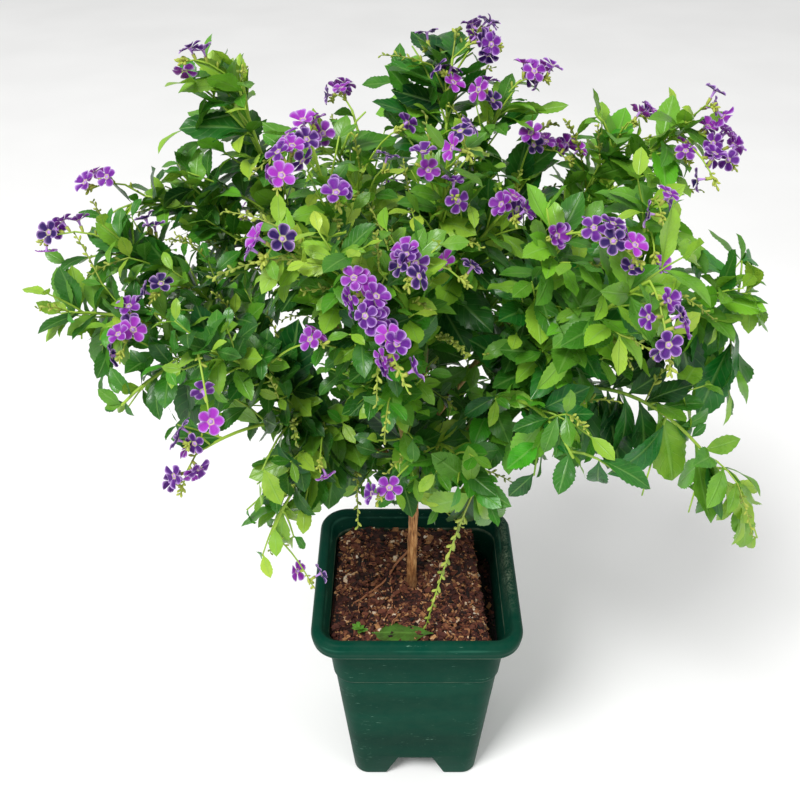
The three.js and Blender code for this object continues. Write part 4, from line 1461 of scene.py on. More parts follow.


# The listed leaves, as rows of SetLeaf, under the name of the stem each leaves
SET_LEAVES = {
    "right_hanging": (
        (0.1, 503, 400, -70, 0.1, 0.5), (0.14, 556, 454, -80, 0.0, 0.15), (0.24, 582, 476, -88, 0.05, 0.35),
        (0.33, 603, 472, -78, 0.0, 0.15), (0.4, 630, 492, -100, 0.05, 0.4), (0.47, 648, 488, -84, 0.0, 0.25),
        (0.56, 676, 486, -84, 0.55, 0.55), (0.66, 717, 414, -70, 0.15, 0.5), (0.62, 700, 440, -74, 0.1, 0.4),
        (0.72, 704, 424, -70, 0.1, 0.45), (0.3, 596, 452, -62, 0.0, 0.2), (0.27, 618, 368, -58, 0.0, 0.15),
        (0.35, 642, 362, -58, 0.0, 0.1), (0.42, 666, 370, -60, 0.05, 0.2), (0.5, 692, 384, -64, 0.0, 0.15),
        (0.56, 706, 398, -68, 0.1, 0.4), (0.38, 606, 476, -78, 0.0, 0.2), (0.28, 578, 470, -74, 0.0, 0.3),
        (0.74, 688, 518, -96, 0.4, 0.5), (0.78, 738, 438, -76, 0.5, 0.6), (0.8, 714, 492, -90, 0.6, 0.55),
        (0.92, 765, 486, -88, 0.75, 0.7), (0.86, 696, 512, -90, 0.2, 0.45), (0.89, 744, 522, -94, 0.7, 0.7),
        (0.93, 722, 526, -96, 0.8, 0.6), (1.0, 764, 545, -94, 0.8, 0.6), (1.0, 745, 548, -96, 0.6, 0.5),
    ),
    "right": (
        (0.5, 642, 396, -40, 0.0, 0.1), (0.45, 628, 388, -40, 0.0, 0.15), (0.55, 652, 394, -44, 0.0, 0.2),
        (0.6, 640, 372, -30, 0.0, 0.15), (0.65, 676, 388, -36, 0.0, 0.2), (0.75, 694, 378, -34, 0.05, 0.35),
        (0.82, 757, 255, -30, 0.05, 0.4), (0.9, 702, 358, -34, 0.1, 0.45), (0.95, 728, 334, -20, 0.3, 0.5),
        (0.97, 762, 312, -20, 0.75, 0.75), (1.0, 746, 332, -24, 0.6, 0.65),
    ),
    "upper_left": (
        (0.72, 204, 164, 38, 0.05, 0.3), (0.85, 180, 126, 36, 0.05, 0.3), (0.9, 251, 84, 34, 0.0, 0.2),
        (0.95, 198, 99, 32, 0.1, 0.45), (0.98, 178, 80, 30, 0.55, 0.6), (1.0, 194, 62, 30, 0.6, 0.7),
        (1.0, 216, 54, 32, 0.7, 0.4), (1.0, 232, 62, 34, 0.6, 0.6),
    ),
    "top": (
        (0.75, 398, 110, 40, 0.05, 0.2), (0.82, 391, 97, 42, 0.0, 0.15), (0.88, 389, 66, 45, 0.1, 0.45),
        (0.85, 418, 78, 60, 0.0, 0.2), (0.9, 424, 52, 70, 0.05, 0.2), (0.96, 411, 39, 76, 0.0, 0.18),
        (1.0, 436, 28, 92, 0.05, 0.3), (1.0, 456, 36, 84, 0.1, 0.35), (0.94, 470, 68, 44, 0.05, 0.3),
        (1.0, 470, 44, 60, 0.2, 0.4), (0.98, 424, 34, 86, 0.0, 0.25),
    ),
    "top_right": (
        (0.84, 527, 118, 30, 0.05, 0.4), (0.95, 512, 74, 44, 0.2, 0.5),
    ),
    "right_inner": (
        (0.75, 548, 176, 48, 0.0, 0.25), (0.9, 558, 148, 52, 0.1, 0.4), (0.95, 540, 132, 56, 0.1, 0.4),
        (0.7, 558, 188, 44, 0.0, 0.3), (0.8, 530, 140, 60, 0.0, 0.3),
    ),
    "low_front": (
        (1.0, 427, 507, -94, 0.5, 0.6), (1.0, 501, 521, -98, 0.6, 0.65), (0.97, 452, 551, -84, 0.0, 0.15),
        (0.97, 506, 537, -90, 0.3, 0.45), (0.95, 470, 449, -100, 0.45, 0.6), (0.93, 430, 454, -95, 0.3, 0.5),
        (0.3, 398, 492, -50, 0.0, 0.15), (0.1, 372, 500, -40, 0.0, 0.1), (0.2, 440, 500, -50, 0.05, 0.2),
    ),
    "low_left_hanging": (
        (0.3, 348, 498, -44, 0.0, 0.2), (0.45, 330, 505, -60, 0.1, 0.3), (0.6, 314, 510, -72, 0.15, 0.3),
        (0.75, 318, 520, -80, 0.5, 0.55),
    ),
    "front_right": (
        (0.05, 470, 392, -60, 0.0, 0.2), (0.15, 462, 366, -70, 0.1, 0.35), (0.25, 478, 340, -76, 0.0, 0.25),
    ),
    "centre_right": (
        (0.1, 468, 352, -50, 0.0, 0.25), (0.2, 492, 330, -56, 0.05, 0.3),
    ),
    "left_front": (
        (0.15, 306, 352, -50, 0.0, 0.15), (0.25, 278, 340, -56, 0.0, 0.2), (0.35, 262, 322, -64, 0.05, 0.25),
        (0.1, 318, 372, -44, 0.0, 0.1), (0.3, 296, 318, -60, 0.0, 0.2),
    ),
    "low_left": (
        (0.1, 338, 392, -30, 0.0, 0.15), (0.3, 308, 384, -50, 0.0, 0.2), (0.96, 206, 466, -116, 0.05, 0.25),
        (0.9, 172, 438, -108, 0.05, 0.3),
    ),
    "left_under": (
        (0.15, 196, 400, -56, 0.0, 0.2), (0.3, 186, 412, -64, 0.05, 0.3), (0.5, 150, 340, -80, 0.05, 0.3),
        (0.7, 132, 352, -84, 0.1, 0.3), (0.4, 174, 386, -78, 0.1, 0.3), (0.2, 186, 436, -66, 0.0, 0.25),
        (0.8, 128, 362, -90, 0.1, 0.3), (0.9, 108, 372, -94, 0.15, 0.45), (1.0, 98, 390, -96, 0.3, 0.5),
        (1.0, 106, 410, -98, 0.4, 0.5), (0.96, 130, 420, -98, 0.1, 0.35),
    ),
    "left_low": (
        (1.0, 36, 302, -58, 0.7, 0.6), (0.92, 66, 262, -46, 0.1, 0.35), (0.95, 58, 268, -50, 0.3, 0.5),
        (0.85, 90, 276, -50, 0.4, 0.55), (0.8, 101, 380, -62, 0.2, 0.5), (0.75, 118, 268, -48, 0.15, 0.4),
        (0.65, 134, 286, -46, 0.1, 0.3),
    ),
    "left": (
        (0.9, 88, 234, -14, 0.1, 0.4), (0.85, 106, 272, -22, 0.35, 0.55), (0.8, 118, 230, -10, 0.05, 0.3),
        (0.75, 124, 292, -24, 0.1, 0.4), (0.7, 142, 236, -14, 0.1, 0.35),
    ),
}

# Listed bud spikes: the stem each leaves, how far along, and its tip
SPIKES = (
    ("front", 0.9, (-125, -130, 570)), ("top_front", 0.15, (28, -125, 512)),
    ("right_front", 0.4, (97, -112, 512)), ("low_left", 0.1, (-46, -88, 340)),
    ("front_left", 0.8, (-47, -125, 582)), ("upper_right", 0.7, (100, 20, 614)),
    ("left_low", 0.7, (-206, -62, 478)), ("right_front", 0.6, (134, -118, 500)),
    ("left_under", 0.1, (-134, -90, 502)), ("low_left", 0.5, (-84, -118, 440)),
    ("top_left", 0.7, (-44, -50, 582)), ("right", 0.6, (192, -30, 480)),
    ("front_upper", 0.5, (2, -124, 546)), ("right_hanging", 0.5, (172, -72, 470)),
    ("top", 0.92, (14, 66, 645)), ("top", 1.0, (28, 78, 660)), ("right_inner", 0.98, (98, 50, 602)),
)

# Sprays too small for a solid of their own
SIDE_BLOOMS = {
    "top_high": Spray("top", 0.9, (4, 46, 656), 1),
    "top_side": Spray("top", 0.75, (16, 30, 642), 3),
    "top_back": Spray("top", 1, (52, 108, 650), 4),
    "right_top": Spray("upper_right_fork", 1, (196, 6, 628), 3),
    "right_top_low": Spray("upper_right_fork", 0.9, (198, -22, 584), 3),
    "low_left_high": Spray("low_left", 0.97, (-157, -122, 440), 3),
    "top_low": Spray("top_right", 0.8, (43, 20, 634), 3),
    "upright": Spray("upper_right", 0.95, (153, 45, 604), 1),
    "right_outer": Spray("upper_right_fork", 0.6, (187, 10, 588), 2),
    "right_middle": Spray("right_fork", 0.8, (146, -90, 560), 1),
    "right_small": Spray("front_right", 0.9, (77, -98, 580), 2),
    "back_right_upper": Spray("right_inner", 0.8, (80, 20, 604), 3),
    "centre_high": Spray("top_left", 0.8, (-14, -20, 622), 1),
    "centre_left": Spray("top_left", 0.7, (-24, -42, 602), 1),
    "centre_pale": Spray("top_front", 0.7, (-1, -62, 612), 2),
    "centre_low": Spray("top_front", 0.6, (19, -76, 598), 2),
    "middle_right": Spray("front_upper", 0.9, (27, -112, 556), 2),
    "front_pale": Spray("front_left", 0.85, (-50, -122, 612), 2),
    "left_upper": Spray("left", 0.7, (-190, -12, 545), 2),
    "left_middle": Spray("left", 0.6, (-180, -68, 522), 2),
    "left_lower": Spray("left_low", 0.7, (-192, -76, 502), 2),
    "low_left_inner": Spray("low_left", 0.3, (-70, -112, 414), 1),
}


@dataclass
class WoodyFrame:
    """The trunk and its limbs, round and barked, standing in the potting mix."""

    trunk_points: tuple = ((-3, 0, 128), (-4, 0, 196), (-2, 3, 300), (3, 6, 402))
    foot_radius: float = 4.7
    top_radius: float = 3.4
    flare: float = 1.35
    flare_height: float = 202.0
    buried_foot: float = 168.0
    sides: int = 16
    limb_radius: float = 3.0
    limb_end: float = 2.1
    limb_sides: int = 10

    def middle(self, height: float | np.ndarray) -> np.ndarray:
        """Gives the trunk's middle.

        Args:
            height: one height, or several.

        Returns:
            The middle at each height.
        """
        knots = np.array(self.trunk_points, float)
        curve = np.polynomial.polynomial.polyfit(knots[:, 2] / 400.0, knots[:, :2], 3)
        level = np.asarray(height, float)
        flat = np.polynomial.polynomial.polyval(level / 400.0, curve)
        return np.concatenate([np.moveaxis(flat, 0, -1), level[..., None]], -1)

    def limbs(self) -> dict[str, Arch]:
        """Gives each limb's arch."""
        foot, limbs = self.middle, LIMBS.items()
        return {name: Arch(foot(limb.height), point(limb.end), limb.rise) for name, limb in limbs}

    def build(self) -> bpy.types.Object:
        """Makes the trunk and its limbs in place of the CAD node.

        Returns:
            The woody frame.
        """
        pile = MeshPile()
        low, high = self.trunk_points[0][2], self.trunk_points[-1][2]
        heights = np.linspace(self.buried_foot, high, 56)
        shares = (heights - low) / (high - low)
        radii = self.foot_radius + (self.top_radius - self.foot_radius) * shares
        flared = smoothstep(-heights, -self.flare_height - 6, -self.flare_height + 8)
        radii = radii * (1 + (self.flare - 1) * flared)
        radii = radii * (1 + 0.05 * np.sin(heights * 0.21) + 0.03 * np.sin(heights * 0.57 + 1))
        pile.add(tube(self.middle(heights), radii, self.sides))
        for arch in self.limbs().values():
            pile.add(arch.tube(self.limb_radius, self.limb_end, self.limb_sides))
        wood = pile.build("trunk_and_limbs", Palette.BARK)
        return settle(wood, "bark", "trunk")


# The crown


def grown_stems(limbs: dict[str, Arch]) -> dict[str, Arch]:
    """Grows the leafy stems.

    Args:
        limbs: each limb's arch.

    Returns:
        The arch of each limb and of each leafy stem, which starts on its parent.
    """
    shoots = dict(limbs)
    for name, stem in STEMS.items():
        shoots[name] = Arch(shoots[stem.parent].at(stem.at), point(stem.tip), stem.rise)
    return shoots


def node_of(name: str) -> str:
    """Gives the stem whose CAD node a stem belongs to: a fork belongs to the stem that bears it."""
    parent = STEMS[name].parent
    return name if parent in LIMBS else node_of(parent)


@dataclass(frozen=True)
class BladeShape:
    """One leaf blade of length 1, with its root at the origin, pointing along +X and facing +Z."""

    half_width: float = 0.25
    fold: float = 0.24
    curl: float = 0.22
    bend: float = 0.5
    wave: float = 0.06
    phase: float = 0.0
    tooth: float = 0.095
    teeth: int = 6
    foot: tuple = (0.0, 0.05, 0.11, 0.18, 0.26, 0.34)
    sides: tuple = (-1.0, -0.55, 0.0, 0.55, 1.0)
    stations: tuple = (0.0, 0.06, 0.12, 0.2, 0.3, 0.4, 0.5, 0.6, 0.7, 0.8, 0.89, 0.96, 1.0)
    widths: tuple = (0.05, 0.08, 0.18, 0.42, 0.7, 0.9, 1.0, 1.0, 0.91, 0.72, 0.47, 0.23, 0.05)

    def rows(self) -> tuple[np.ndarray, np.ndarray]:
        """Sets out the rows of points from the root to the tip.

        Returns:
            Each row's share of the length, and how much the gap between two teeth trims it.
        """
        shares, trims = list(self.foot), [0.0] * len(self.foot)
        for tooth in range(self.teeth):
            tip = 0.42 + 0.54 * tooth / self.teeth
            shares += [tip, tip + 0.2 / self.teeth]
            trims += [0.0, self.tooth]
        return np.array(shares), np.array(trims)

    def patch(self) -> Patch:
        """Makes the blade's mesh.

        Returns:
            The blade. Its tag is the share of the length and the side, from -1 to 1.
        """
        shares, trims = self.rows()
        width = self.half_width * np.interp(shares, self.stations, self.widths)
        sides = np.array(self.sides)
        reach = np.where(np.abs(sides)[None] > 0.9, 1 - trims[:, None], 1.0) * sides[None]
        y = width[:, None] * reach
        angle = self.bend * shares
        step = np.diff(shares, prepend=0.0)
        spine_x = np.cumsum(step * np.cos(angle))
        spine_z = -np.cumsum(step * np.sin(angle))
        rise = self.fold * np.abs(y) - self.curl * y * y / self.half_width
        rise = rise + self.wave * np.abs(y) * np.sin(2 * math.pi * 1.7 * shares + self.phase)[:, None]
        x = spine_x[:, None] + rise * np.sin(angle)[:, None]
        z = spine_z[:, None] + rise * np.cos(angle)[:, None]
        points = np.stack([x, y, z], -1).reshape(-1, 3)
        last = 1.0 - shares[-1]
        tip = [spine_x[-1] + last * math.cos(self.bend), 0.0, spine_z[-1] - last * math.sin(self.bend)]
        count, wide = len(shares), len(sides)
        end = fan_faces((count - 1) * wide, wide, count * wide, False)
        faces = np.concatenate([grid_faces(count, wide, False), end])
        lengthwise, sidewise = np.broadcast_to(shares[:, None], y.shape), np.broadcast_to(sides, y.shape)
        form = np.stack([lengthwise, sidewise, 0 * y], -1)
        form = np.vstack([form.reshape(-1, 3), [1.0, 0.0, 0.0]])
        return Patch(np.vstack([points, tip]), faces, form)


# Half width, fold, curl, bend, wave and phase of the blades that repeat over the crown
BLADE_FORMS = (
    (0.24, 0.36, 0.22, 0.45, 0.07, 0.0),
    (0.22, 0.54, 0.30, 0.75, 0.10, 1.1),
    (0.26, 0.26, 0.14, 0.25, 0.14, 2.3),
    (0.21, 0.66, 0.40, 0.95, 0.08, 3.1),
    (0.26, 0.34, 0.34, 0.60, 0.16, 4.0),
    (0.24, 0.48, 0.16, -0.15, 0.12, 5.2),
    (0.20, 0.34, 0.20, 1.15, 0.12, 0.6),
    (0.25, 0.20, 0.26, 0.10, 0.10, 1.9),
)
BLADES = tuple(BladeShape(*form).patch() for form in BLADE_FORMS)
# Small leaves have fewer teeth and points
SMALL_SHAPE = partial(BladeShape, teeth=4, foot=(0.0, 0.12, 0.28), sides=(-1.0, 0.0, 1.0))
SMALL_BLADES = tuple(SMALL_SHAPE(*form).patch() for form in BLADE_FORMS)


class Leaf(NamedTuple):
    """A leaf waiting to be made: where it is, how it points and faces, its length, youth and tone."""

    root: np.ndarray
    along: np.ndarray
    facing: np.ndarray
    length: float
    youth: float
    tone: float


# Places in the photograph's frame where daylight or the pot shows: column, row, half width, half height
WINDOWS = (
    (378, 565, 52, 62), (415, 560, 14, 66), (420, 700, 120, 110), (228, 478, 34, 46), (150, 520, 70, 60),
    (600, 560, 90, 52), (520, 520, 26, 26), (60, 420, 45, 60), (516, 424, 12, 18), (580, 508, 76, 32),
    (132, 446, 34, 22), (272, 96, 22, 34), (168, 46, 14, 16), (372, 104, 26, 22), (384, 42, 22, 12),
    (508, 146, 12, 18), (704, 222, 28, 30), (764, 356, 22, 42), (176, 114, 18, 18), (160, 78, 12, 10),
    (690, 533, 30, 16), (112, 422, 26, 14), (70, 346, 26, 18), (140, 165, 22, 26), (278, 66, 26, 36),
    (772, 400, 36, 26), (738, 188, 30, 16), (782, 262, 20, 45), (240, 448, 24, 10),
)


@dataclass
class Clearings:
    """Where no leaf may sit: outside the part's box, at or before a bloom, and in the daylight gaps."""

    blooms: np.ndarray
    bloom_room: float = 8.0
    view_room: float = 9.0
    view_reach: float = 80.0
    margin: float = 1.0

    def allow(self, middles: np.ndarray, low: np.ndarray, high: np.ndarray) -> np.ndarray:
        """Says which leaves may stay.

        Args:
            middles: the middle of each leaf.
            low: the lowest corner of each leaf.
            high: the highest corner of each leaf.

        Returns:
            True for each leaf that may stay.
        """
        box_low = np.array(CAD_BOX[0]) / MM + self.margin
        box_high = np.array(CAD_BOX[1]) / MM - self.margin
        fits = (low > box_low).all(1) & (high < box_high).all(1)
        reach = middles[:, None] - self.blooms[None]
        far = np.linalg.norm(reach, axis=2)
        view = unit(point(VIEWPOINT.location) - self.blooms)
        ahead = (reach * view[None]).sum(2)
        aside = np.sqrt(np.maximum(far**2 - ahead**2, 0))
        hides = (ahead > 0) & (ahead < self.view_reach) & (aside < self.view_room)
        clear = (far.min(1) > self.bloom_room) & ~hides.any(1)
        column, row = VIEWPOINT.pixels(middles)
        for x, y, half_width, half_height in WINDOWS:
            clear &= ((column - x) / half_width) ** 2 + ((row - y) / half_height) ** 2 > 1
        return fits & clear


@dataclass
class BudSpike:
    """A stalk of small pale green buds set round it by the golden angle."""

    stalk_radius: float = 0.6
    bud_length: float = 4.8
    bud_radius: float = 1.05
    spacing: float = 2.5
    closeness: float = 1.0
    sides: int = 6

    def bud(self, root: np.ndarray, axis: np.ndarray, length: float, youth: float) -> Patch:
        """Makes one bud: a small droplet that is widest past its middle.

        Args:
            root: where it starts.
            axis: its direction.
            length: its length.
            youth: kept in the tag.

        Returns:
            The bud.
        """
        shares = np.array([0.0, 0.25, 0.55, 0.8, 0.97])
        radii = self.bud_radius * length / self.bud_length * np.array([0.45, 0.7, 1.0, 0.8, 0.25])
        return tube(root + axis * (shares * length)[:, None], radii, self.sides, youth)

    def grow(self, pile: MeshPile, arch: Arch, slot: int, rng: np.random.Generator, since: float) -> None:
        """Adds the stalk and its buds.

        Args:
            pile: where they go.
            arch: the stalk's curve.
            slot: the material slot.
            rng: the seeded generator.
            since: the share of the stalk where the buds start.
        """
        pile.add(arch.tube(self.stalk_radius, 0.35, self.sides, 0.3), slot, 0.5)
        count = max(4, int(arch.length * (1 - since) / self.spacing))
        for number in range(count):
            share = since + (1 - since) * number / (count - 1)
            along = self.closeness * rng.uniform(0.7, 1.3)
            axis = outward(arch.tangent(share), number * GOLDEN_ANGLE, along, 0.1)
            length = self.bud_length * (1.15 - 0.45 * share) * rng.uniform(0.8, 1.15)
            bud = self.bud(arch.at(share), axis, length, rng.uniform(0.0, 0.65))
            pile.add(bud, slot, rng.uniform(0.2, 0.9))


@dataclass(frozen=True)
class Growth:
    """How leaves sit along a shoot: the room between pairs, their length, youth, droop and number."""

    spacing: float
    length: float
    youth: float
    droop: float
    busy: float = 1.0


@dataclass
class LeafyStem:
    """One CAD node's stems, each with its pairs of leaves, its side twigs and its bud spikes."""

    name: str
    members: list
    shoots: dict
    clearings: Clearings
    pair_spacing: float = 17.0
    first_pair: float = 0.1
    last_pair: float = 0.97
    leaf_length: float = 43.0
    small_leaf: float = 29.0
    leaf_shrink: float = 0.42
    twig_pair_spacing: float = 10.5
    set_twig_spacing: float = 13.0
    twig_leaf_share: float = 0.78
    twig_youth: float = 0.08
    first_twig: float = 0.1
    twig_range: float = 0.84
    twig_spacing: float = 10.5
    twig_length: float = 58.0
    twig_shrink: float = 0.55
    twig_radius: float = 0.85
    stem_radius: float = 1.7
    tip_radius: float = 1.0
    forward: float = 0.6
    outwards: float = 0.7
    pair_turn: float = 1.2
    spike_share: float = 0.26
    tilt: float = 0.5
    bright_share: float = 0.32
    bright_tone: float = 0.79
    dark_tone: float = 0.19
    bright_youth: float = 0.18
    inner_shade: float = 0.2
    right_light: float = 0.33
    top_light: float = 0.22
    left_shade: float = 0.12
    crown_reach: tuple = (210.0, 170.0, 180.0)
    tone_spread: float = 0.12
    youth_spread: float = 0.12
    tender_from: float = 0.62
    tender_rise: float = 0.65
    longest_leaf: float = 58.0
    set_off: float = 0.26

    def add_pairs(self, leaves: list[Leaf], arch: Arch, growth: Growth, rng: np.random.Generator) -> None:
        """Adds opposite pairs of leaves along a shoot.

        Args:
            leaves: where they go.
            arch: the shoot.
            growth: how they sit.
            rng: the seeded generator.
        """
        first = self.first_pair
        count = max(2, round(arch.length * (self.last_pair - first) * growth.busy / growth.spacing))
        start = rng.uniform(0, math.pi)
        for pair in range(count):
            share = first + (self.last_pair - first) * pair / (count - 1)
            size = growth.length * (1 - self.leaf_shrink * share**2)
            for twin in range(2):
                angle = start + twin * math.pi + pair * self.pair_turn + rng.uniform(-0.3, 0.3)
                lift = rng.uniform(-0.25, 0.35) - growth.droop
                root = arch.at(share)
                along = outward(arch.tangent(share), angle, self.forward + 0.35 * share, lift)
                facing = UP + from_crown(root) * self.outwards + rng.normal(0, self.tilt, 3)
                bright = rng.random() < self.bright_share
                tender = growth.youth + self.tender_rise * max(0.0, share - self.tender_from)
                tender = tender + rng.normal(0, self.youth_spread) + self.bright_youth * bright
                # Daylight falls on the right and the top, and the left lies darker
                sunlit = self.right_light * smoothstep(root[0], 20.0, 150.0)
                sunlit = sunlit + self.top_light * smoothstep(root[2], 500.0, 620.0)
                sunlit = sunlit - self.left_shade * smoothstep(-root[0], 40.0, 160.0)
                # Painted shade: leaves inside the crown are painted darker
                depth = np.linalg.norm((root - CROWN_CENTRE) / self.crown_reach)
                sunlit = sunlit - self.inner_shade * smoothstep(-depth, -0.75, -0.35)
                usual = self.bright_tone if bright else self.dark_tone
                shade = rng.normal(usual, self.tone_spread) + sunlit
                length = size * rng.uniform(0.78, 1.2)
                tender, shade = float(np.clip(tender, 0, 1)), float(np.clip(shade, 0, 1))
                leaves.append(Leaf(root, along, unit(facing), length, tender, shade))

    def add_twigs(
        self, pile: MeshPile, leaves: list[Leaf], arch: Arch, growth: Growth, rng: np.random.Generator
    ) -> None:
        """Adds side twigs with their own leaves, some of them ending in a bud spike.

        Args:
            pile: where the twigs go.
            leaves: where their leaves go.
            arch: the stem they leave.
            growth: how the twigs' leaves sit.
            rng: the seeded generator.
        """
        count = int(arch.length * self.twig_range * growth.busy / self.twig_spacing)
        spike = BudSpike()
        for number in range(count):
            share = self.first_twig + self.twig_range * (number + 0.5) / count
            root = arch.at(share)
            angle = number * GOLDEN_ANGLE + rng.uniform(-0.4, 0.4)
            along = outward(arch.tangent(share), angle, 0.75, 0.3) + 0.45 * from_crown(root)
            length = self.twig_length * (1 - self.twig_shrink * share) * rng.uniform(0.7, 1.2)
            twig = Arch(root, root + unit(along) * length, rng.uniform(-2, 5))
            if not self.fits(twig.tip):
                continue
            bark = twig.tube(self.twig_radius, 0.5, 5, 0.45 + 0.4 * growth.youth)
            pile.add(bark, 1, rng.uniform(0.2, 0.8))
            self.add_pairs(leaves, twig, replace(growth, busy=1.0), rng)
            if rng.random() < self.spike_share:
                onward = unit(twig.tangent(1.0) + rng.normal(0, 0.25, 3) - 0.25 * UP)
                tip = twig.tip + onward * rng.uniform(22, 40)
                if self.fits(tip):
                    spike.grow(pile, Arch(twig.tip, tip, 2.0), 2, rng, 0.2)

    def fits(self, place: np.ndarray) -> bool:
        """Says whether a place is inside the part's box and clear of the daylight gaps."""
        row = place[None]
        return bool(self.clearings.allow(row, row - 4, row + 4)[0])

    def pour(self, pile: MeshPile, leaves: list[Leaf], rng: np.random.Generator) -> int:
        """Makes every leaf that may stay and adds it to the pile.

        Args:
            pile: where the leaves go.
            leaves: the leaves that wait.
            rng: the seeded generator.

        Returns:
            How many leaves were made.
        """
        roots, alongs, facings, lengths, youths, tones = (np.array(column) for column in zip(*leaves))
        side = unit(np.cross(facings, alongs))
        frames = np.stack([alongs, side, np.cross(alongs, side)], 1)
        kinds = rng.integers(0, len(BLADES), len(roots)) + len(BLADES) * (lengths < self.small_leaf)
        made = 0
        for kind, blade in enumerate(BLADES + SMALL_BLADES):
            chosen = np.flatnonzero(kinds == kind)
            shape = np.einsum("pk,nkj->npj", blade.points, frames[chosen]) * lengths[chosen, None, None]
            shape = shape + roots[chosen, None]
            keep = self.clearings.allow(shape.mean(1), shape.min(1), shape.max(1))
            for number, points in zip(chosen[keep], shape[keep]):
                form = blade.form.copy()
                form[:, 2] = youths[number]
                pile.add(Patch(points, blade.faces, form), 0, tones[number])
                made += 1
        return made

    def build(self) -> bpy.types.Object:
        """Makes the stems with their leaves in place of the CAD node.

        Returns:
            The leafy stem.
        """
        rng = np.random.default_rng(LEAF_SEED + list(STEMS).index(self.name))
        pile = MeshPile()
        leaves: list[Leaf] = []
        for member in self.members:
            arch = self.shoots[member]
            stem = STEMS.get(member, Stem("", 0, (), 0, 0.0, 0.9))
            length = self.leaf_length * stem.size
            if member in STEMS:
                green = arch.tube(self.stem_radius, self.tip_radius, 8)
                green.form[:, 2] = 0.1 + 0.55 * green.form[:, 0] + 0.3 * stem.youth
                pile.add(green, 1, 0.4)
                along = Growth(self.pair_spacing, length, stem.youth, stem.droop, stem.busy)
                self.add_pairs(leaves, arch, along, rng)
            small, youth = length * self.twig_leaf_share, stem.youth + self.twig_youth
            growth = Growth(self.twig_pair_spacing, small, youth, stem.droop, stem.busy)
            self.add_twigs(pile, leaves, arch, growth, rng)
            for twig in TWIGS.get(member, ()):
                shoot = Arch(arch.at(twig.at), point(twig.tip), 5.0)
                pile.add(shoot.tube(1.0, 0.6, 6, 0.4 + 0.4 * twig.youth), 1, 0.5)
                length = self.leaf_length * twig.size
                growth = Growth(self.set_twig_spacing, length, twig.youth, twig.droop, twig.busy)
                self.add_pairs(leaves, shoot, growth, rng)
            for row in SET_LEAVES.get(member, ()):
                leaf = SetLeaf(*row)
                root = arch.at(leaf.at)
                blade = VIEWPOINT.place(leaf.column, leaf.row, leaf.depth) - root
                length = min(float(np.linalg.norm(blade)), self.longest_leaf)
                seen = unit(point(VIEWPOINT.location) - root)
                facing = unit(UP * 0.5 + from_crown(root) * 0.6 + seen * 0.6 + rng.normal(0, 0.25, 3))
                # A blade bends down past its middle, so it sets off a little higher than its tip
                above = unit(facing - facing @ unit(blade) * unit(blade))
                along = unit(unit(blade) + above * self.set_off)
                leaves.append(Leaf(root, along, facing, length * 1.04, leaf.youth, leaf.tone))
            for parent, share, tip in SPIKES:
                if parent == member:
                    stalk = Arch(arch.at(share), point(tip), 8.0)
                    BudSpike(0.65, 5.6, 1.3, 2.5, 1.2).grow(pile, stalk, 2, rng, 0.3)
        made = self.pour(pile, leaves, rng)
        piece = pile.build(f"stem_with_leaves_{self.name}", Palette.LEAF, Palette.STEM, Palette.CALYX)
        log.info("%s has %d leaves", self.name, made)
        return settle(piece, "leaf_green", f"leafy_stem_{self.name}")


# The flowers


@dataclass(frozen=True)
class BloomShape:
    """Five petals of radius 1 round a throat at the origin, facing +Z."""

    cup: float = 0.25
    open_angle: float = 0.1
    ruffle: float = 0.03
    seed: int = 0
    throat: float = 0.15
    widest: float = 0.66
    half_width: float = 0.385

    def petal_width(self, reach: np.ndarray) -> np.ndarray:
        """Gives a petal's half width: a claw that opens into a round blade.

        Args:
            reach: shares of the way from the throat to the petal's end.

        Returns:
            The half width at each share.
        """
        claw = 0.10 + (self.half_width - 0.10) * smoothstep(reach, -0.1, self.widest)
        round_end = np.sqrt(np.clip(1 - ((reach - self.widest) / (1 - self.widest)) ** 2, 0, 1))
        return np.where(reach < self.widest, claw, self.half_width * round_end)

    def patch(self) -> Patch:
        """Makes the five petals.

        Returns:
            The petals. Their tag is the reach, the nearness to the rim and the side.
        """
        rng = np.random.default_rng(self.seed)
        reach = np.array([0.0, 0.14, 0.3, 0.46, 0.62, 0.76, 0.87, 0.95, 0.99])
        side = np.array([-1.0, -0.72, -0.36, 0.0, 0.36, 0.72, 1.0])
        width = self.petal_width(reach)
        y = width[:, None] * side[None]
        beyond = np.clip((reach - self.widest) / (1 - self.widest), 0, 1)[:, None]
        rim = np.where(beyond > 0, np.sqrt(beyond**2 + (y / self.half_width) ** 2), np.abs(side)[None])
        rim = np.clip(rim, 0, 1)
        patches, faces = [], []
        lengthwise, sidewise = np.broadcast_to(reach[:, None], y.shape), np.broadcast_to(side, y.shape)
        form = np.stack([lengthwise, rim, sidewise], -1).reshape(-1, 3)
        for petal in range(5):
            lean = self.open_angle + rng.normal(0, 0.14)
            curl = rng.uniform(0.2, 0.75)
            phase = rng.uniform(0, 2 * math.pi)
            z = self.cup * y**2 / self.half_width - 0.16 * curl * reach[:, None] ** 3
            z = z + self.ruffle * np.sin(5 * side[None] + phase) * reach[:, None] ** 2
            far = (1 - self.throat) * reach[:, None] + 0 * y
            x = self.throat + far * math.cos(lean) - z * math.sin(lean)
            z = far * math.sin(lean) + z * math.cos(lean)
            turn = 2 * math.pi * petal / 5 + rng.normal(0, 0.05)
            flat_x = x * math.cos(turn) - y * math.sin(turn)
            flat_y = x * math.sin(turn) + y * math.cos(turn)
            patches.append(np.stack([flat_x, flat_y, z], -1).reshape(-1, 3))
            faces.append(grid_faces(len(reach), len(side), False) + petal * y.size)
        return Patch(np.vstack(patches), np.vstack(faces), np.tile(form, (5, 1)))


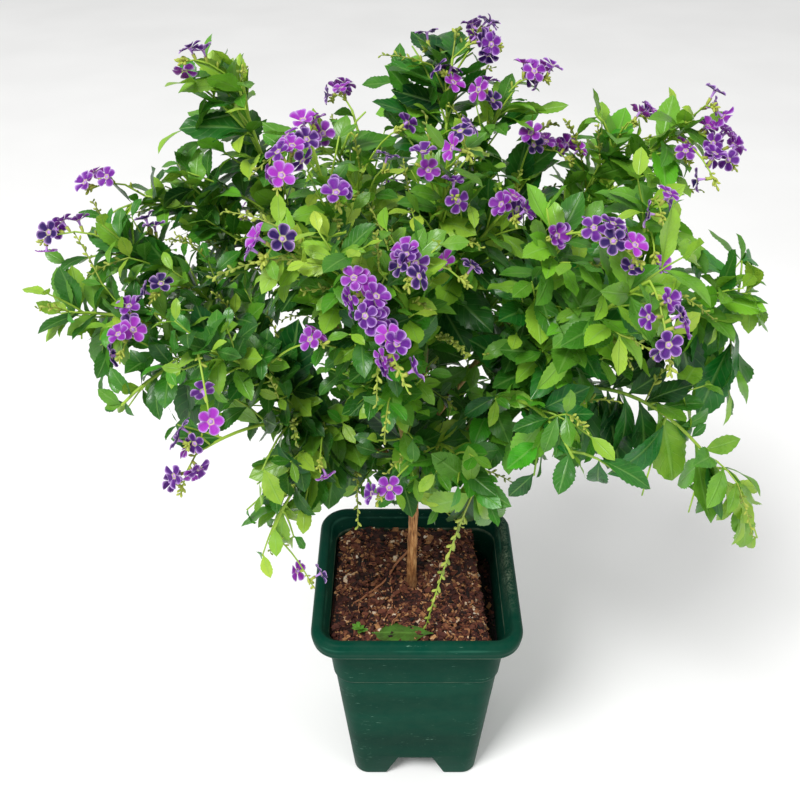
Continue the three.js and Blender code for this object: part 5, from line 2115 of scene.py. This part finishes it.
# Cup, open angle, ruffle and seed of the blooms that repeat
BLOOM_FORMS = ((0.35, 0.05, 0.03, 70), (0.5, 0.22, 0.04, 71), (0.2, -0.12, 0.05, 72))
BLOOM_FORMS += ((0.45, 0.4, 0.03, 73), (0.3, 0.12, 0.06, 74))
BLOOMS = tuple(BloomShape(*form).patch() for form in BLOOM_FORMS)


@dataclass
class OpenFlower:
    """One open flower: petals, a slim lilac tube and a green calyx. Lengths in millimetres."""

    root: np.ndarray
    axis: np.ndarray
    radius: float
    tube_length: float
    kind: int
    spin: float
    tone: float
    calyx_share: float = 0.42
    tube_radius: float = 0.72
    throat_share: float = 0.15

    @property
    def middle(self) -> np.ndarray:
        """Gives the middle of the petals."""
        return self.root + self.axis * self.tube_length

    def petals(self) -> np.ndarray:
        """Sets the petals in place.

        Returns:
            Their points.
        """
        across = unit(np.cross(least_aligned(self.axis), self.axis))
        over = np.cross(self.axis, across)
        turned = across * math.cos(self.spin) + over * math.sin(self.spin)
        return set_in(BLOOMS[self.kind].points * self.radius, self.middle, turned, self.axis)

    def grow(self, pile: MeshPile) -> None:
        """Adds the flower.

        Args:
            pile: where it goes, with slots for petal, tube and calyx.
        """
        bloom = BLOOMS[self.kind]
        pile.add(Patch(self.petals(), bloom.faces, bloom.form), 0, self.tone)
        shares = np.array([0.0, 0.3, 0.6, 0.85, 1.0])
        radii = self.tube_radius * np.array([0.8, 0.85, 1.0, 1.3, 0.0])
        radii[-1] = self.throat_share * self.radius * 1.15
        neck = tube(self.root + self.axis * (shares * self.tube_length)[:, None], radii, 7, 0.4)
        neck.points[-1] -= self.axis * 1.3
        neck.form[:, 2] = 0.1 + 0.8 * neck.form[:, 0]
        pile.add(neck, 1, 0.5)
        cup_length = self.calyx_share * self.tube_length
        steps = np.array([0.0, 0.25, 0.7, 1.0])
        cup_radii = np.array([0.5, 1.05, 1.15, 1.3])
        cup = tube(self.root + self.axis * (steps * cup_length)[:, None], cup_radii, 10, 0.6)
        teeth = np.arange(30, 40)[::2]
        cup.points[teeth] += self.axis * 1.2
        cup.points[-1] -= self.axis * 1.4
        pile.add(cup, 2, 0.35 + 0.4 * self.tone)


@dataclass
class FlowerSpray:
    """One stalk with its open flowers, spent calyces and buds."""

    name: str
    spray: Spray
    start: np.ndarray
    seed: int
    nodes: tuple = ()
    radius: float = 8.7
    tube_lengths: tuple = (8.5, 10.5, 7.0)
    stalk_radius: float = 0.8
    tip_radius: float = 0.5
    first_flower: float = 0.26
    last_flower: float = 0.92
    spacing: float = 9.0
    forward: float = 0.2
    lift: float = 0.45
    outwards: float = 0.6

    def __post_init__(self) -> None:
        """Sets the stalk and its flowers, so that leaves can keep clear of them."""
        self.stalk = Arch(self.start, point(self.spray.tip), 8.0)
        self.rng = np.random.default_rng(self.seed)
        self.flowers = self.open_flowers()

    def open_flowers(self) -> list[OpenFlower]:
        """Sets out the open flowers, with a few more tucked between those of the solid.

        Returns:
            The flowers that stay inside the part's box.
        """
        flowers = []
        count = self.spray.flowers
        if not count:
            return flowers
        reach = self.last_flower - self.first_flower
        step = min(self.spacing / self.stalk.length, reach / max(1, count - 1))
        hue = self.rng.uniform(0.25, 0.75) if self.spray.tone is None else self.spray.tone
        extra = 0 if count < 3 else round(self.spray.crowding * count)
        for number in range(count + extra):
            between = number >= count
            place = number - count + 0.5 if between else number
            place = place * (count - 1) / max(1, extra) if between and extra else place
            share = self.last_flower - (count - 1 - place) * step
            share = float(np.clip(share, 0.12, 0.97))
            root = self.stalk.at(share)
            for turn in range(12):
                angle = number * GOLDEN_ANGLE + self.rng.uniform(0, 0.8) + turn
                leaning = outward(self.stalk.tangent(share), angle, self.forward, self.lift)
                axis = unit(leaning + self.outwards * from_crown(root) + self.rng.normal(0, 0.14, 3))
                radius = self.radius * self.rng.uniform(0.88, 1.08) * (0.9 if between else 1.0)
                length = float(self.rng.choice(self.tube_lengths))
                kind = int(self.rng.integers(0, len(BLOOMS)))
                spin = float(self.rng.uniform(0, 2 * math.pi))
                tone = float(np.clip(self.rng.normal(hue, 0.3), 0, 1))
                flower = OpenFlower(root, axis, radius, length, kind, spin, tone)
                if self.inside(flower):
                    flowers.append(flower)
                    break
        return flowers

    def inside(self, flower: OpenFlower) -> bool:
        """Says whether a flower stays inside the part's box."""
        return within_box(flower.petals(), 0.2) and within_box(flower.root, 1.5)

    def build(self) -> bpy.types.Object:
        """Makes the spray in place of its CAD node.

        Returns:
            The spray.
        """
        pile = MeshPile()
        bud = BudSpike()
        stalk = self.stalk.tube(self.stalk_radius, self.tip_radius, 7, 0.7)
        pile.add(stalk, 3, 0.5)
        if self.spray.flowers:
            for flower in self.flowers:
                flower.grow(pile)
            for number in range(9):
                share = 0.84 + 0.16 * number / 8
                axis = outward(self.stalk.tangent(share), number * GOLDEN_ANGLE, 1.2, 0.2)
                shoot = bud.bud(self.stalk.at(share), axis, self.rng.uniform(3.0, 5.5), 0.8)
                if within_box(shoot.points, 0.2):
                    pile.add(shoot, 2, 0.6)
            for number in range(int(self.stalk.length * 0.3 / 4)):
                share = 0.06 + 0.3 * self.rng.random()
                axis = outward(self.stalk.tangent(share), number * GOLDEN_ANGLE, 0.7, 0.2)
                pile.add(bud.bud(self.stalk.at(share), axis, self.rng.uniform(3.5, 5.0), 0.5), 2, 0.4)
        else:
            BudSpike(0.9, 7.4, 1.45, 4.4, 1.7).grow(pile, self.stalk, 2, self.rng, 0.16)
        name = f"flowers_{self.name}" if self.spray.flowers else "hanging_bud_spike"
        spray = pile.build(name, Palette.PETAL, Palette.LILAC, Palette.CALYX, Palette.STEM)
        return settle(spray, "petal_violet" if self.spray.flowers else "bud_green", *self.nodes)


# What lies on the potting mix


@dataclass
class SurfaceRoots:
    """Thin roots that run over the potting mix: one long one, and finer ones beside it."""

    mix: PottingMix
    routes: tuple = (
        (1.35, ((2, 62), (-2, 50), (-14, 28), (-24, 10), (-36, -8), (-50, -22), (-60, -28))),
        (0.7, ((-22, 12), (-23, -6), (-21, -22), (-24, -38), (-34, -54))),
        (0.55, ((-21, -22), (-16, -34), (-18, -46), (-26, -60))),
        (0.8, ((-2, -4), (4, -10), (9, -16), (12, -24))),
        (0.5, ((-50, -22), (-50, -36), (-53, -46))),
        (0.5, ((14, 30), (22, 18), (20, 4), (28, -8))),
        (0.45, ((36, -6), (40, -22), (36, -34))),
    )

    def smooth(self, values: np.ndarray) -> np.ndarray:
        """Gives each value as the mean of itself and its three neighbours on each side."""
        return np.convolve(np.pad(values, 3, mode="edge"), np.ones(7) / 7, mode="valid")

    def line(self, route: tuple, radius: float) -> np.ndarray:
        """Lays a root on the mix, dipping into it at both ends.

        Args:
            route: places it passes, seen from above.
            radius: its radius.

        Returns:
            Its middle line.
        """
        knots = np.array(route, float)
        run = np.linspace(0, 1, len(knots))
        shares = np.linspace(0, 1, 9 * len(knots))
        x = np.interp(shares, run, knots[:, 0])
        y = np.interp(shares, run, knots[:, 1])
        x = self.smooth(x) + 0.7 * np.sin(shares * 23 + radius)
        y = self.smooth(y) + 0.6 * np.sin(shares * 17 + 1)
        ground = self.smooth(self.mix.height(x, y))
        sunk = 3.0 * (smoothstep(shares, 0.88, 1.0) + smoothstep(-shares, -0.12, 0.0))
        return np.column_stack([x, y, ground + 1.6 + radius - sunk])

    def build(self) -> bpy.types.Object:
        """Makes the roots in place of the CAD node.

        Returns:
            The roots.
        """
        pile = MeshPile()
        for number, (radius, route) in enumerate(self.routes):
            line = self.line(route, radius)
            uneven = 1 + 0.1 * np.sin(np.arange(len(line)) * 1.3)
            radii = radius * np.linspace(1.0, 0.6, len(line)) * uneven
            pile.add(tube(line, radii, 8, 0.25), 0, 0.3 + 0.1 * number)
        roots = pile.build("roots_on_the_mix", Palette.ROOT)
        return settle(roots, "root_skin", "surface_root")


@dataclass
class DroppedLeaf:
    """A leaf that has dropped by the front wall."""

    root: tuple = (14.0, -64.0, 199.0)
    towards: tuple = (-1.0, 0.06, 0.02)
    facing: tuple = (0.0, 0.05, 1.0)
    length: float = 53.0

    def build(self) -> bpy.types.Object:
        """Makes the leaf in place of the CAD node.

        Returns:
            The leaf.
        """
        blade = BladeShape(0.27, 0.1, 0.35, 0.12, 0.1, 0.4).patch()
        along, facing = unit(point(self.towards)), unit(point(self.facing))
        points = set_in(blade.points * self.length, point(self.root), along, facing)
        pile = MeshPile()
        pile.add(Patch(points, blade.faces, blade.form), 0, 0.34)
        leaf = pile.build("dropped_leaf", Palette.FALLEN)
        return settle(leaf, "dropped_leaf", "fallen_leaf")


@dataclass
class Seedling:
    """A small seedling that stands in the potting mix at the front left."""

    mix: PottingMix
    place: tuple = (-50.0, -62.0)
    height: float = 9.0

    def build(self) -> bpy.types.Object:
        """Makes the seedling.

        Returns:
            The seedling.
        """
        rng = np.random.default_rng(SOIL_SEED + 9)
        x, y = self.place
        ground = float(self.mix.height(np.array([x]), np.array([y]))[0])
        foot = point((x, y, ground - 2))
        pile = MeshPile()
        stalk = Arch(foot, foot + point((1.0, 0.5, self.height)), 0.0)
        pile.add(stalk.tube(0.7, 0.4, 6, 0.5), 1, 0.5)
        for number in range(8):
            share = 0.55 + 0.45 * number / 7
            along = outward(stalk.tangent(share), number * GOLDEN_ANGLE, 0.5, 0.2)
            blade = BLADES[number % len(BLADES)]
            points = set_in(blade.points * rng.uniform(6.0, 9.5), stalk.at(share), along, UP)
            form = blade.form.copy()
            form[:, 2] = 0.25
            pile.add(Patch(points, blade.faces, form), 0, 0.6)
        seedling = pile.build("seedling", Palette.LEAF, Palette.STEM)
        return settle(seedling, "leaf_green")


# The studio


@dataclass
class Studio:
    """A pale floor, a bright even sky and two soft lamps."""

    floor_half: float = 6.0
    floor_drop: float = 0.4
    sky: str = "#ffffff"
    sky_strength: float = 0.55
    key_power: float = 245.0
    fill_power: float = 34.0

    def lamp(self, name: str, place: tuple, size: float, power: float) -> None:
        """Adds a soft square lamp that looks at the plant.

        Args:
            name: its name.
            place: where it hangs, in metres.
            size: its width, in metres.
            power: its power, in watts.
        """
        data = bpy.data.lights.new(name, "AREA")
        data.energy = power
        data.size = size
        lamp = bpy.data.objects.new(name, data)
        lamp.location = place
        aim = unit(np.array([0.0, 0.0, 0.35]) - np.array(place))
        yaw = math.atan2(-aim[0], aim[1])
        lamp.rotation_euler = (math.acos(-aim[2]), 0.0, yaw)
        bpy.context.scene.collection.objects.link(lamp)

    def build(self) -> None:
        """Makes the floor, the sky and the lamps."""
        half = self.floor_half / MM
        sides = ((-half, -half), (half, -half), (half, half), (-half, half))
        corners = np.array([[x, y, -self.floor_drop] for x, y in sides])
        pile = MeshPile()
        pile.add(Patch(corners, np.array([[0, 1, 2, 3]])))
        pile.build("floor", Palette.BOARD)
        world = bpy.data.worlds.new("studio_sky")
        world.use_nodes = True
        backdrop = world.node_tree.nodes["Background"]
        backdrop.inputs["Color"].default_value = linear(self.sky)
        backdrop.inputs["Strength"].default_value = self.sky_strength
        bpy.context.scene.world = world
        self.lamp("key_lamp", (-1.9, -2.4, 4.6), 1.8, self.key_power)
        self.lamp("fill_lamp", (3.0, -1.8, 2.4), 2.6, self.fill_power)
        bpy.context.scene.view_settings.view_transform = "Standard"


def main() -> None:
    """Builds every sub-assembly in order, from the ground up."""
    logging.basicConfig(level=logging.INFO, format="%(message)s")
    VIEWPOINT.place_camera()
    pot = NurseryPot()
    pot.build()
    mix = PottingMix(pot)
    mix.build()
    wood = WoodyFrame()
    wood.build()
    SurfaceRoots(mix).build()
    DroppedLeaf().build()
    Seedling(mix).build()
    shoots = grown_stems(wood.limbs())
    sprays = [
        FlowerSpray(name, spray, shoots[spray.parent].at(spray.at), BLOOM_SEED + number, (f"spray_{name}",))
        for number, (name, spray) in enumerate(SPRAYS.items())
    ]
    sprays += [
        FlowerSpray(f"side_{name}", spray, shoots[spray.parent].at(spray.at), BLOOM_SEED + 50 + number)
        for number, (name, spray) in enumerate(SIDE_BLOOMS.items())
    ]
    blooms = np.array([flower.middle for spray in sprays for flower in spray.flowers])
    clearings = Clearings(blooms)
    bare_limbs = set(LIMBS)
    for name, stem in STEMS.items():
        if node_of(name) == name:
            members = [other for other in STEMS if node_of(other) == name]
            if stem.parent in bare_limbs:
                members.append(stem.parent)
                bare_limbs.remove(stem.parent)
            LeafyStem(name, members, shoots, clearings).build()
    for spray in sprays:
        spray.build()
    log.info("%d open flowers", len(blooms))
    Studio().build()


if __name__ == "__main__":
    main()
